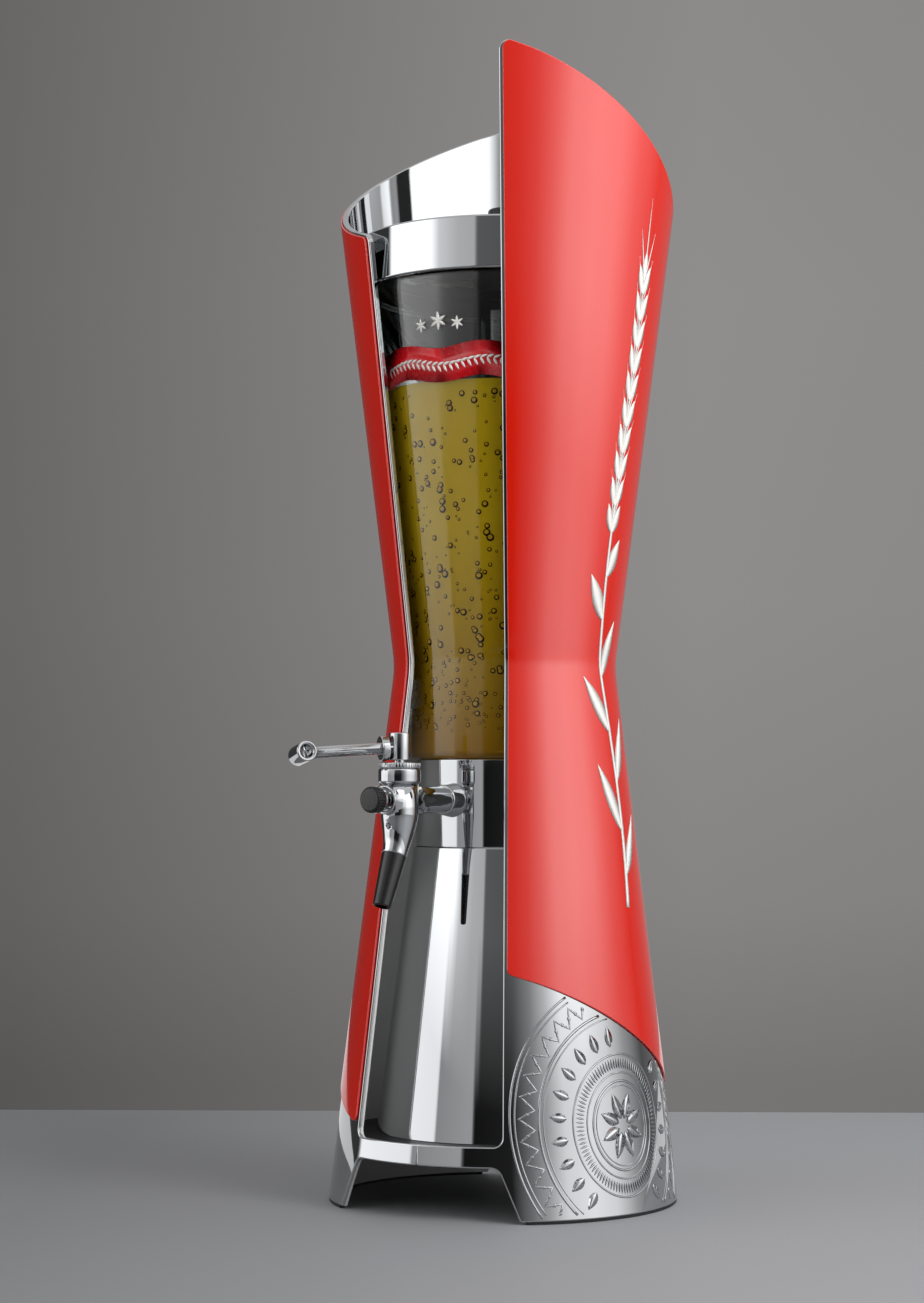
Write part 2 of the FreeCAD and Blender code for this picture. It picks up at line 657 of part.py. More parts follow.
def make_ice_cap():
    plug_r = CAP_BORE_R - CAP_PLUG_GAP
    groove_z = CAP_Z - CAP_PLUG_L / 2
    top = CAP_Z + CAP_T
    cap = turned([
        (0, CAP_Z - CAP_PLUG_L),
        (plug_r, CAP_Z - CAP_PLUG_L),
        (plug_r, groove_z - CAP_SEAL_R),
        (plug_r - CAP_SEAL_R, groove_z - CAP_SEAL_R),
        (plug_r - CAP_SEAL_R, groove_z + CAP_SEAL_R),
        (plug_r, groove_z + CAP_SEAL_R),
        (plug_r, CAP_Z),
        (CAP_R, CAP_Z),
        (CAP_R, top),
        (CAP_GRIP_R, top),
        (CAP_GRIP_R, top + CAP_GRIP_H),
        (0, top + CAP_GRIP_H),
    ])
    return soften(cap, 2 * EDGE_R, [(top, UP, CAP_R), (top + CAP_GRIP_H, UP, CAP_GRIP_R)])


def make_ice_cap_seal():
    """Flat-sided ring in the cap's groove; it runs in the hub's bore."""
    groove_r = CAP_BORE_R - CAP_PLUG_GAP - CAP_SEAL_R
    middle = CAP_Z - CAP_PLUG_L / 2
    return turned([
        (groove_r + FIT, middle - CAP_SEAL_R + FIT),
        (CAP_BORE_R - RUN, middle - CAP_SEAL_R + FIT),
        (CAP_BORE_R - RUN, middle + CAP_SEAL_R - FIT),
        (groove_r + FIT, middle + CAP_SEAL_R - FIT),
    ])


# ---------------------------------------------------------------- tap
def ahead(y, z=INLET_Z):
    """Point on the tap's middle plane."""
    return Vector(0, y, z)


BODY_FRONT_Y = TAP_Y - TAP_R
BODY_BACK_Y = TAP_Y + TAP_R
BOSS_Y = BODY_FRONT_Y - BOSS_L
SEAT_Y = TAP_Y - PLUG_R - RUN - SEAT_WALL
GLAND_Y = BOSS_Y + GLAND_L
DROP_Y = SEAT_Y - DROP_R + 0.45
DROP_KNEE_Z = PLUG_BOTTOM_Z - 2.4
FLOW_CUP_Y = BOSS_Y - FLOW_STEM_SHOWN
KNOB_Y = FLOW_CUP_Y - FLOW_CUP_L


def drilling(radius, start, end):
    along = end - start
    return cylinder(radius, along.Length, start, along)


def key_bar(reach, width, start_y, length):
    """Upright key that stops the needle turning, or the groove that it slides in."""
    return Part.makeBox(width, length, reach, Vector(-width / 2, start_y - length, INLET_Z))


def spout_station(angle):
    """Centre and direction of the spout after it has bent forward by angle degrees."""
    turn = math.radians(angle)
    ahead_by = SPOUT_BEND_R * (1 - math.cos(turn))
    centre = ahead(TAP_Y - ahead_by, SPOUT_TOP_Z - SPOUT_BEND_R * math.sin(turn))
    return centre, Vector(0, -math.sin(turn), -math.cos(turn))


def spout_loft(radius_at, start=0.0, steps=8):
    """Bent round bar along the spout; radius_at gives its radius for 0..1 along the bend."""
    wires = []
    for i in range(steps + 1):
        share = start + (1 - start) * i / steps
        centre, along = spout_station(SPOUT_ANGLE * share)
        wires.append(Part.Wire(Part.Circle(centre, along, radius_at(share)).toShape()))
    return Part.makeLoft(wires, True)


def spout_radius(share):
    """Narrows smoothly from the body's radius to the spout's end."""
    return TAP_R + (SPOUT_END_R - TAP_R) * share ** 2 * (3 - 2 * share)


def make_tap_body():
    """Upright casting that bends and narrows into its spout; inlet socket behind, needle's boss in front."""
    spout_end, along = spout_station(SPOUT_ANGLE)
    body = cylinder(TAP_R, TAP_TOP_Z - SPOUT_TOP_Z, ahead(TAP_Y, SPOUT_TOP_Z), UP)
    body = body.fuse([
        cylinder(BODY_NECK_R, TAP_TOP_Z + BODY_NECK_H - INLET_Z, ahead(TAP_Y), UP),
        cylinder(BOSS_R, -(BOSS_Y - TAP_Y), ahead(TAP_Y), AHEAD),
        cylinder(SOCKET_R, BODY_BACK_Y + SOCKET_L - TAP_Y, ahead(TAP_Y), -AHEAD),
        spout_loft(spout_radius),
        cylinder(SPIGOT_R, SPIGOT_L, spout_end, along),
    ])
    body = body.removeSplitter()
    body = soften(body, EDGE_R, [(-BOSS_Y, AHEAD, BOSS_R), (-(BODY_BACK_Y + SOCKET_L), AHEAD, SOCKET_R)])
    return body.cut([
        cylinder(PLUG_R + RUN, TAP_TOP_Z, ahead(TAP_Y, PLUG_BOTTOM_Z - RUN), UP),
        cylinder(PORT_R, TAP_R, ahead(TAP_Y), -AHEAD),
        cylinder(SHANK_BORE_R, SOCKET_L, ahead(TAP_Y + PLUG_R + 2 * SEAT_WALL), -AHEAD),
        cylinder(SHANK_R + FIT, SOCKET_L + 1.6, ahead(BODY_BACK_Y + SOCKET_L), AHEAD),
        cylinder(SEAT_R, TAP_R, ahead(TAP_Y), AHEAD),
        cylinder(CHAMBER_R, FAR, ahead(SEAT_Y), AHEAD),
        cylinder(GLAND_R + FIT, FAR, ahead(GLAND_Y), AHEAD),
        key_bar(NEEDLE_KEY_R + RUN, NEEDLE_KEY_W + 2 * RUN, SEAT_Y, SEAT_Y - GLAND_Y),
        drilling(DROP_R, ahead(DROP_Y), ahead(DROP_Y, DROP_KNEE_Z)),
        drilling(DROP_R, ahead(DROP_Y, DROP_KNEE_Z + DROP_R / 4), ahead(TAP_Y - DROP_R, VENT_Z)),
        drilling(VENT_R, ahead(BODY_FRONT_Y, VENT_Z), ahead(TAP_Y, VENT_Z)),
        drilling(VENT_RIM_R, ahead(BODY_FRONT_Y, VENT_Z), ahead(BODY_FRONT_Y + VENT_RIM_L, VENT_Z)),
        spout_loft(lambda share: SPOUT_BORE_R, SPOUT_BORE_START),
        cylinder(SPOUT_BORE_R, 2 * SPIGOT_L, spout_end, along),
    ])


def make_bonnet():
    """Cap nut on the body's neck; it holds the plug down and the stem seal in."""
    base = ahead(TAP_Y, TAP_TOP_Z)
    bonnet = cylinder(BONNET_R, BONNET_H, base, UP)
    bonnet = soften(bonnet, 2 * EDGE_R, [(TAP_TOP_Z, UP, BONNET_R), (TAP_TOP_Z + BONNET_H, UP, BONNET_R)])
    return bonnet.cut([
        cylinder(BODY_NECK_R + FIT, BODY_NECK_H, base, UP),
        cylinder(STEM_R + RUN, BONNET_H, base, UP),
        cylinder(STEM_R + SEAL_W, FAR, base + UP * (BONNET_H - RING_SPIGOT_H - SEAL_H), UP),
        cylinder(RING_SPIGOT_R + FIT, FAR, base + UP * (BONNET_H - RING_SPIGOT_H), UP),
    ])


def make_bonnet_ring():
    """Knurled ring whose spigot presses on the stem seal."""
    base = TAP_TOP_Z + BONNET_H
    ring = cylinder(RING_R, RING_H, ahead(TAP_Y, base), UP)
    ring = soften(ring, EDGE_R, [(base, UP, RING_R), (base + RING_H, UP, RING_R)])
    ring = ring.fuse(cylinder(RING_SPIGOT_R, RING_SPIGOT_H, ahead(TAP_Y, base - RING_SPIGOT_H), UP))
    return ring.removeSplitter().cut(cylinder(STEM_R + RUN, FAR, ahead(TAP_Y), UP))


def make_stem_seal():
    base = ahead(TAP_Y, TAP_TOP_Z + BONNET_H - RING_SPIGOT_H - SEAL_H)
    ring = cylinder(STEM_R + SEAL_W - FIT, SEAL_H, base, UP)
    return ring.cut(cylinder(STEM_R + RUN, SEAL_H, base, UP))


def make_nozzle():
    start, along = spout_station(SPOUT_ANGLE)
    sleeve = Part.makeCone(NOZZLE_TOP_R, NOZZLE_TIP_R, NOZZLE_L, start, along)
    rings = [e for e in sleeve.Edges if isinstance(e.Curve, Part.Circle)]
    sleeve = sleeve.makeFillet(EDGE_R, [e for e in rings if abs(e.Curve.Radius - NOZZLE_TIP_R) < 0.01])
    return sleeve.cut([
        cylinder(SPIGOT_R + FIT, SPIGOT_L + FIT, start, along),
        cylinder(NOZZLE_BORE_R, FAR, start, along),
    ])


def make_shank():
    length = SHANK_END_Y - (BODY_BACK_Y + SOCKET_L) + SOCKET_L + 1.5
    end = ahead(SHANK_END_Y)
    return cylinder(SHANK_R, length, end, AHEAD).cut(cylinder(SHANK_BORE_R, length, end, AHEAD))


def make_shank_nut():
    nut = hexagon(SHANK_NUT_AF, SHANK_NUT_H, ahead(SHANK_NUT_FACE_Y), -AHEAD, 0)
    return nut.cut(cylinder(SHANK_R + FIT, FAR, ahead(FAR / 2), AHEAD))


def make_shank_washer():
    """Soft washer between the nut and the curved inside of the container."""
    disc = cylinder(WASHER_R, JAR_FOOT_R, ahead(SHANK_NUT_FACE_Y), AHEAD)
    disc = disc.cut(cylinder(SHANK_R + FIT, FAR, ahead(FAR / 2), AHEAD))
    return disc.common(cylinder(JAR_FOOT_IN_R, NECK_R, UP * JAR_BOTTOM_Z, UP))


def make_shank_gasket():
    """Thin ring in the gap between container and neck, round the shank."""
    disc = cylinder(WASHER_R, NECK_R, ahead(0), AHEAD)
    disc = disc.cut([cylinder(SHANK_R + FIT, FAR, ahead(FAR / 2), AHEAD),
                     cylinder(JAR_FOOT_R, NECK_R, UP * JAR_BOTTOM_Z, UP)])
    return disc.common(cylinder(NECK_IN_R, NECK_R, UP * JAR_BOTTOM_Z, UP))


def make_rosette():
    """Tulip-shaped flange; its back follows the neck."""
    nose_y = -(NECK_R + ROSETTE_L)
    bell = Part.makeCone(ROSETTE_R, ROSETTE_NOSE_R, ROSETTE_L, ahead(-NECK_R), AHEAD)
    skirt = cylinder(ROSETTE_R, 2.0, ahead(-NECK_R + 2.0), AHEAD)
    flange = soften(bell, 2 * EDGE_R, [(-nose_y, AHEAD, ROSETTE_NOSE_R)]).fuse(skirt)
    return flange.cut([
        cylinder(NECK_R, NECK_R, UP * PEDESTAL_TOP_Z, UP),
        cylinder(SHANK_R + FIT, FAR, ahead(FAR / 2), AHEAD),
    ]).removeSplitter()


# ---------------------------------------------------------------- valve and lever
def lever_placement():
    """Local +X runs out along the rod, from the tap's axis."""
    plan = Rotation(UP, -90 - LEVER_TURN)
    drop = Rotation(Vector(0, 1, 0), LEVER_DROP)
    return Placement(ahead(TAP_Y, LEVER_Z), plan.multiply(drop))


def on_lever(shape):
    shape.Placement = lever_placement().multiply(shape.Placement)
    return shape


def rod_bar(extra):
    """The rod, or the hole that it sits in: from past the tap's axis into the barrel."""
    length = ROD_PAST_AXIS + LEVER_REACH - ROD_SHORT
    return on_lever(cylinder(ROD_R + extra, length, Vector(-ROD_PAST_AXIS, 0, 0), Vector(1, 0, 0)))


def hub_screw_hole(extra):
    return cylinder(HUB_SCREW_R + extra, FAR, ahead(TAP_Y, HUB_Z + STEM_IN_HUB - HUB_SCREW_BITE), UP)


def make_valve_plug():
    """Plug with its cross port and the stem that the hub sits on."""
    plug_top = TAP_TOP_Z + BODY_NECK_H - RUN
    plug = cylinder(PLUG_R, plug_top - PLUG_BOTTOM_Z, ahead(TAP_Y, PLUG_BOTTOM_Z), UP)
    stem = cylinder(STEM_R, HUB_Z + STEM_IN_HUB - PLUG_BOTTOM_Z, ahead(TAP_Y, PLUG_BOTTOM_Z), UP)
    shut_by = math.radians(LEVER_OPEN_TURN - LEVER_TURN)
    across = Vector(-math.sin(shut_by), math.cos(shut_by), 0)
    port = cylinder(PORT_R, 4 * PLUG_R, ahead(TAP_Y) - across * 2 * PLUG_R, across)
    return plug.fuse(stem).removeSplitter().cut([port, hub_screw_hole(FIT)])


def make_lever_hub():
    top = HUB_Z + HUB_H
    hub = cylinder(HUB_R, HUB_H, ahead(TAP_Y, HUB_Z), UP)
    hub = soften(hub, EDGE_R, [(HUB_Z, UP, HUB_R), (top, UP, HUB_R)])
    return hub.cut([
        cylinder(STEM_R + FIT, STEM_IN_HUB, ahead(TAP_Y, HUB_Z), UP),
        rod_bar(FIT),
        hub_screw_hole(HOLE_GAP),
        cylinder(HUB_SCREW_HEAD_R + HOLE_GAP, FAR, ahead(TAP_Y, top - HUB_SCREW_HEAD_H), UP),
    ])


def make_hub_screw():
    """Goes down through hub and rod into the stem's end."""
    seat_z = HUB_Z + HUB_H - HUB_SCREW_HEAD_H
    foot_z = HUB_Z + STEM_IN_HUB - HUB_SCREW_BITE + FIT
    head = cylinder(HUB_SCREW_HEAD_R, HUB_SCREW_HEAD_H, ahead(TAP_Y, seat_z), UP)
    return head.fuse(cylinder(HUB_SCREW_R, seat_z - foot_z, ahead(TAP_Y, foot_z), UP)).removeSplitter()


def make_lever_rod():
    return rod_bar(0).cut(hub_screw_hole(HOLE_GAP))


def round_ends(bar):
    return bar.makeFillet(EDGE_R, [e for e in bar.Edges if isinstance(e.Curve, Part.Circle)])


def make_lever_collar():
    start = HUB_R + COLLAR_GAP
    disc = round_ends(Part.makeCylinder(COLLAR_R, COLLAR_L, Vector(start, 0, 0), Vector(1, 0, 0)))
    return on_lever(disc).cut(rod_bar(FIT))


def make_lever_barrel():
    """Barrel lying across the rod's end, dished at both ends."""
    twist = math.radians(BARREL_TWIST)
    sideways = Vector(0, math.cos(twist), math.sin(twist))
    middle = Vector(LEVER_REACH, 0, 0)
    bar = round_ends(Part.makeCylinder(BARREL_R, BARREL_L, middle - sideways * (BARREL_L / 2), sideways))
    for way in (1, -1):
        floor = middle + sideways * (way * (BARREL_L / 2 - BARREL_DISH_L))
        bar = bar.cut(Part.makeCylinder(BARREL_DISH_R, BARREL_L, floor, sideways * way))
    return on_lever(bar).cut(rod_bar(FIT))


# ---------------------------------------------------------------- flow regulator
def make_flow_gland():
    nut = cylinder(GLAND_R, GLAND_L, ahead(GLAND_Y), AHEAD)
    return nut.cut(cylinder(FLOW_STEM_R + RUN, FAR, ahead(0), AHEAD))


def make_flow_stem():
    """Turns in the gland nut, held by its collar; the needle's tail screws in its bore."""
    collar = cylinder(FLOW_COLLAR_R, FLOW_COLLAR_L, ahead(GLAND_Y + FLOW_COLLAR_L), AHEAD)
    start = GLAND_Y + FLOW_COLLAR_L
    stem = collar.fuse(cylinder(FLOW_STEM_R, start - KNOB_Y + KNOB_POCKET, ahead(start), AHEAD))
    bore_l = NEEDLE_TAIL_L + 0.5
    return stem.removeSplitter().cut(cylinder(NEEDLE_R + RUN, bore_l, ahead(start), AHEAD))


def make_flow_cup():
    """Dished washer, widest against the knob."""
    dish_l = FLOW_CUP_L * 0.6
    dish = Part.makeCone(FLOW_STEM_R * 1.4, FLOW_CUP_R, dish_l, ahead(FLOW_CUP_Y), AHEAD)
    rim = cylinder(FLOW_CUP_R, FLOW_CUP_L - dish_l, ahead(FLOW_CUP_Y - dish_l), AHEAD)
    return dish.fuse(rim).removeSplitter().cut(cylinder(FLOW_STEM_R + FIT, FAR, ahead(0), AHEAD))


def make_flow_knob():
    knob = cylinder(KNOB_R, KNOB_L, ahead(KNOB_Y), AHEAD)
    knob = soften(knob, 2 * EDGE_R, [(-(KNOB_Y - KNOB_L), AHEAD, KNOB_R)])
    return knob.cut(cylinder(FLOW_STEM_R + FIT, KNOB_POCKET + FIT, ahead(KNOB_Y), AHEAD))


def make_flow_needle():
    """Cone that closes the seat, with a key against turning and a threaded tail."""
    tip_y = SEAT_Y - NEEDLE_OPEN
    neck_y = tip_y - NEEDLE_CONE_L
    tip = Part.makeCone(NEEDLE_TIP_R, NEEDLE_HEAD_R, NEEDLE_CONE_L, ahead(tip_y), AHEAD)
    key = key_bar(NEEDLE_KEY_R, NEEDLE_KEY_W, neck_y, NEEDLE_KEY_L)
    disc = cylinder(NEEDLE_HEAD_R, NEEDLE_KEY_L, ahead(neck_y), AHEAD)
    tail = cylinder(NEEDLE_R, NEEDLE_KEY_L + NEEDLE_TAIL_L, ahead(neck_y), AHEAD)
    return tip.fuse([disc, key, tail]).removeSplitter()


# ---------------------------------------------------------------- all pieces
shell = make_shell()
panel = make_panel()
foot_strip = make_foot_strip()

pieces = {
    "shell_right": shell,
    "shell_left": half_turn(shell),
    "panel_right": panel,
    "panel_left": half_turn(panel),
    "foot_strip_right": foot_strip,
    "foot_strip_left": half_turn(foot_strip),
    "base_deck": make_deck(),
    "deck_screws": screws(DECK_SCREW_AZIMUTHS, LEDGE_R, DECK_Z - LEDGE_T, LEDGE_T + SCREW_BITE),
    "pedestal_screws": screws(PEDESTAL_SCREW_AZIMUTHS, PEDESTAL_SCREW_R, DECK_Z, DECK_T + SCREW_BITE),
    "ballast": make_ballast(),
    "tie_rod": make_tie_rod(),
    "tie_nut": make_tie_nut(),
    "pedestal": make_pedestal(),
    "neck": make_neck(),
    "container": make_container(),
    "waist_spacers": make_spacers(),
    "lid_ring": make_lid_ring(),
    "lid_gasket": make_lid_gasket(),
    "lid_plate": make_lid_plate(),
    "ice_tube": make_ice_tube(),
    "ice_cap": make_ice_cap(),
    "ice_cap_seal": make_ice_cap_seal(),
    "rosette": make_rosette(),
    "shank": make_shank(),
    "shank_nut": make_shank_nut(),
    "shank_washer": make_shank_washer(),
    "shank_gasket": make_shank_gasket(),
    "tap_body": make_tap_body(),
    "bonnet": make_bonnet(),
    "bonnet_ring": make_bonnet_ring(),
    "stem_seal": make_stem_seal(),
    "nozzle": make_nozzle(),
    "valve_plug": make_valve_plug(),
    "lever_hub": make_lever_hub(),
    "hub_screw": make_hub_screw(),
    "lever_collar": make_lever_collar(),
    "lever_rod": make_lever_rod(),
    "lever_barrel": make_lever_barrel(),
    "flow_gland": make_flow_gland(),
    "flow_stem": make_flow_stem(),
    "flow_cup": make_flow_cup(),
    "flow_knob": make_flow_knob(),
    "flow_needle": make_flow_needle(),
}

ALONG_TAP = [
    "neck", "container", "rosette", "shank", "shank_nut", "shank_washer", "shank_gasket", "tap_body", "bonnet",
    "bonnet_ring", "stem_seal", "nozzle", "valve_plug", "lever_hub", "hub_screw", "lever_collar", "lever_rod",
    "lever_barrel", "flow_gland", "flow_stem", "flow_cup", "flow_knob", "flow_needle",
]
for name in ALONG_TAP:
    pieces[name].rotate(Vector(), UP, TAP_AZIMUTH)

os.makedirs("parts", exist_ok=True)
for name, shape in pieces.items():
    if not shape.isValid():
        print("not valid:", name)
    print(f"{name:18} solids {len(shape.Solids)}  volume {shape.Volume:10.1f}")
    shape.exportStep(f"parts/{name}.step")
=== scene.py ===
"""Looks of the table-top beer tower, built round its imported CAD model. Metres, in the CAD frame."""
import math
import random

import bmesh
import bpy
from mathutils import Matrix, Vector
from mathutils.geometry import delaunay_2d_cdt


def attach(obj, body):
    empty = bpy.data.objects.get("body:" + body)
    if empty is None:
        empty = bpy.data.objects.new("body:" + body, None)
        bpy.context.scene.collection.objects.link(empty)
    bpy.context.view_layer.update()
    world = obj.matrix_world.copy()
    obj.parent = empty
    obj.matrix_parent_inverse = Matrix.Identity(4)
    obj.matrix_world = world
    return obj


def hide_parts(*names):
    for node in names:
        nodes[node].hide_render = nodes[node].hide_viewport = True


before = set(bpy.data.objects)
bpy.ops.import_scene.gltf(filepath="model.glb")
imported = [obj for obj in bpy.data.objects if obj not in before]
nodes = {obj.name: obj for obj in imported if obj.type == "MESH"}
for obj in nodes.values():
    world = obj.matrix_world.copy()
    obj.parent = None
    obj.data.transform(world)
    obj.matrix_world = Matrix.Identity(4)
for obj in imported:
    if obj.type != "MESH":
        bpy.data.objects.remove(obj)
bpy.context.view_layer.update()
MM = 0.001


# --- iron and steel of the foot
# A black ABS deck carries a cast-iron weight, painted dark grey. Zinc-plated screws, a long tie rod and
# its nut hold deck, pedestal and neck together. The shells stand on black rubber strips.
DECK_BLACK = "1B1B1D"
IRON_PAINT = "3A3A3B"
ZINC = "B3B4B2"
RUBBER_BLACK = "161617"
NOISE_LOW = 0.3           # nearly all values of a noise lie between these two
NOISE_HIGH = 0.7


def linear(hex_colour):
    """An sRGB hex colour as linear red, green, blue and alpha."""
    parts = [int(hex_colour[i:i + 2], 16) / 255 for i in (0, 2, 4)]
    return [c / 12.92 if c <= 0.04045 else ((c + 0.055) / 1.055) ** 2.4 for c in parts] + [1.0]


def add(tree, kind, settings=(), **links):
    """A node with its settings; a link goes to the input of that name, with _ for a space."""
    node = tree.nodes.new(kind)
    for key, value in dict(settings).items():
        if isinstance(key, int) or key in node.inputs:
            node.inputs[key].default_value = value
        else:
            setattr(node, key, value)
    for key, source in links.items():
        socket = node.inputs[int(key[1:])] if key[1:].isdigit() else node.inputs[key.replace("_", " ")]
        tree.links.new(source, socket)
    return node


def surface_of(material):
    """The node that holds the material's colour, roughness and so on."""
    return material.node_tree.nodes["Principled BSDF"]


def finish(name, colour, grain=None, **sockets):
    """A material with one Principled surface, its sockets set by name. Its grain is the size of a noise that
    spreads the roughness, the least and most roughness, and how far it raises the surface, in millimetres."""
    made = bpy.data.materials.new(name)
    made.use_nodes = True
    tree = made.node_tree
    surface = surface_of(made)
    for key, value in dict(sockets, Base_Color=linear(colour)).items():
        surface.inputs[key.replace("_", " ")].default_value = value
    if not grain:
        return made
    size_mm, smooth, rough, relief_mm = grain
    noise = add(tree, "ShaderNodeTexNoise", {"Scale": 1 / (size_mm * MM), "Detail": 3.0},
                Vector=add(tree, "ShaderNodeTexCoord").outputs["Object"])
    spread = add(tree, "ShaderNodeMapRange", Value=noise.outputs[0], settings={
        "From Min": NOISE_LOW, "From Max": NOISE_HIGH, "To Min": smooth, "To Max": rough})
    tree.links.new(spread.outputs[0], surface.inputs["Roughness"])
    if relief_mm:
        raised = add(tree, "ShaderNodeBump", {"Distance": relief_mm * MM}, Height=noise.outputs[0])
        tree.links.new(raised.outputs[0], surface.inputs["Normal"])
        if surface.inputs["Coat Weight"].default_value:
            tree.links.new(raised.outputs[0], surface.inputs["Coat Normal"])
    return made


def dress(material, *names):
    """Gives CAD nodes this material."""
    for name in names:
        nodes[name].data.materials.clear()
        nodes[name].data.materials.append(material)


# ABS from a spark-eroded mould: a soft, even sheen. The texture is drawn coarse enough to show.
satin_abs = finish("Satin black ABS", DECK_BLACK, (0.7, 0.42, 0.58, 0.02), Roughness=0.5)
# thick paint over the grain of a sand casting: dull and slightly lumpy
painted_iron = finish("Painted cast iron", IRON_PAINT, (1.8, 0.5, 0.7, 0.15), Roughness=0.6)
# barrel-plated zinc: a cloudy grey shine
zinc_steel = finish("Zinc plated steel", ZINC, (2.5, 0.22, 0.38, 0), Metallic=1.0, Roughness=0.3)
# moulded rubber: a dull, nearly black face, with its texture drawn coarse enough to show too
black_rubber = finish("Moulded black rubber", RUBBER_BLACK, (1.0, 0.45, 0.6, 0.02), Roughness=0.55)
dress(satin_abs, "base_deck", "lid_plate", "ice_cap")
dress(painted_iron, "ballast")
dress(zinc_steel, "deck_screws", "pedestal_screws", "tie_rod", "tie_nut", "hub_screw")
dress(black_rubber, "foot_strip_right", "foot_strip_left")


# --- chromed half shells
# Each half shell is one pressed steel sheet with rolled edges, polished and chromed. It flares up and down
# from a waist, its top is cut on a slant, and a window is left between the two halves, over a low sill.
WAIST_R = 48.0
WAIST_Z = 231.0
FLARE = 0.125
WAIST_BLEND = 45.0
CUT_TILT = math.radians(29.0)
TOP_CUT_Z = 445.3
TOP_CORNER_R = 4.0
SHELL_T = 2.6
PANEL_T = 1.0
WINDOW_HALF = math.radians(29.2)
WINDOW_LEAN = math.radians(0.7)
WINDOW_CORNER_R = 4.0
SILL_TOP_Z = 31.3
NOTCH_TOP_Z = 22.7
NOTCH_TOP_OUT = -1.8
NOTCH_SPREAD = 9.8
NOTCH_CORNER_R = 5.0
FOOT_Z = 1.2
FOOT_RUN = 4.0            # first stretch of the lower edge beside the notch
ROLLED_EDGE_R = 0.6
SHARP_R = 0.8             # corners of the sill and notch
STRAIGHT = math.radians(89.5)                   # a corner with a larger half angle is a straight run
SILL_END_GAP = 0.05       # the two halves' sills meet end to end
RIM_STEPS = 4             # facets in each quarter of a rolled edge
ARC_STEP = 0.5
OUTLINE_STEP = 2.0
SHEET_STEP = 3.0          # side of the triangles that the sheets are made of
CHROME = "C4C6C8"
PAINTED_LIGHT_WHITE = "ECECEA"
WHITE_UP_TO_Z = 200.0     # painted light: the inner face is white up to here instead of chrome, fading out over the next stretch
WHITE_FADE = 15.0
WHITE_ROUGHNESS = 0.4


def waist(z, inset):
    """Radius and its slope at height z of the hourglass face that lies inset inside the panels' face."""
    slope = math.atan(FLARE)
    blend = WAIST_BLEND + inset
    corner = WAIST_R - inset * math.hypot(1, FLARE)
    reach = blend * math.tan(slope) * math.cos(slope)
    off = z - WAIST_Z
    if abs(off) >= reach:
        return corner + FLARE * abs(off), math.copysign(FLARE, off)
    throat = corner + blend / math.cos(slope)
    return throat - math.sqrt(blend ** 2 - off ** 2), off / math.sqrt(blend ** 2 - off ** 2)


def on_hourglass(azimuth, z, inset):
    """Point and outward normal of that face; azimuth is counted from -Y towards +X."""
    radius, slope = waist(z, inset)
    ahead = Vector((math.sin(azimuth), -math.cos(azimuth), 0))
    return ahead * radius + Vector((0, 0, z)), (ahead - Vector((0, 0, slope))).normalized()


def right_of(direction):
    """The flat direction to the right of this one."""
    return Vector((direction.y, -direction.x)).normalized()


def rounded(points, radii, step=ARC_STEP):
    """A flat line through points with arcs at its corners, and the direction to its right at each point."""
    points = [Vector(p) for p in points]
    line = [points[0]]
    sides = [right_of(points[1] - points[0])]
    for before, here, after, radius in zip(points, points[1:], points[2:], radii):
        to_before = (before - here).normalized()
        to_after = (after - here).normalized()
        half = to_before.angle(to_after) / 2
        if radius == 0 or half > STRAIGHT:
            line.append(here)
            sides.append(right_of(to_after - to_before))
            continue
        centre = here + (to_before + to_after).normalized() * (radius / math.sin(half))
        start = here + to_before * (radius / math.tan(half)) - centre
        sweep = math.pi - 2 * half
        turning = 1 if to_before.x * to_after.y - to_before.y * to_after.x < 0 else -1
        count = max(4, round(sweep * radius / step))
        for i in range(count + 1):
            turn = turning * sweep * i / count
            spoke = Vector((start.x * math.cos(turn) - start.y * math.sin(turn),
                            start.x * math.sin(turn) + start.y * math.cos(turn)))
            line.append(centre + spoke)
            sides.append(spoke.normalized() * turning)
    return line + [points[-1]], sides + [right_of(points[-1] - points[-2])]


def stepped(line, step):
    """The line with points added so that none are further apart than step."""
    made = [line[0]]
    for a, b in zip(line, line[1:]):
        count = max(1, math.ceil((b - a).length / step))
        made += [a.lerp(b, i / count) for i in range(1, count + 1)]
    return made


def settled(z, step):
    """The height at which step(height) gives that height back."""
    for _ in range(20):
        z = step(z)
    return z


def slant(cut_z, azimuth, inset):
    """Height at which a slanted plane, crossing the axis at cut_z, meets the hourglass face."""
    return settled(cut_z, lambda z: cut_z + math.tan(CUT_TILT) * waist(z, inset)[0] * math.cos(azimuth))


def window_side(margin, cut_z, corner_r, inset, back):
    """Line from the slanted top, round its corner and down the window's edge, and a function from its
    coordinates, distance into the wall from the window's edge and height, to azimuth and height."""
    def place(p):
        azimuth = WINDOW_HALF + math.asin(p[0] / waist(p[1], inset)[0])
        return Vector((math.pi - azimuth if back else azimuth, p[1]))

    def lean(z):
        return margin - math.tan(WINDOW_LEAN) * (z - WAIST_Z)

    def top(shift):
        z = settled(cut_z, lambda z: slant(cut_z, place((lean(z) + shift, z)).x, inset))
        return lean(z) + shift, z

    return [top(4 * corner_r), top(0), (margin, WAIST_Z)], place


def close_outline(front, back, cut_z, inset, low_side):
    """The outline from its two sides, each a line of azimuth and height from top to foot."""
    def along(a, b, height):
        count = math.ceil(abs(b - a) * WAIST_R / OUTLINE_STEP)
        return [Vector((a + (b - a) * i / count, height(a + (b - a) * i / count))) for i in range(1, count)]

    low = along(front[-1].x, back[-1].x, low_side)
    high = along(back[0].x, front[0].x, lambda azimuth: slant(cut_z, azimuth, inset))
    return front + low + back[::-1] + high


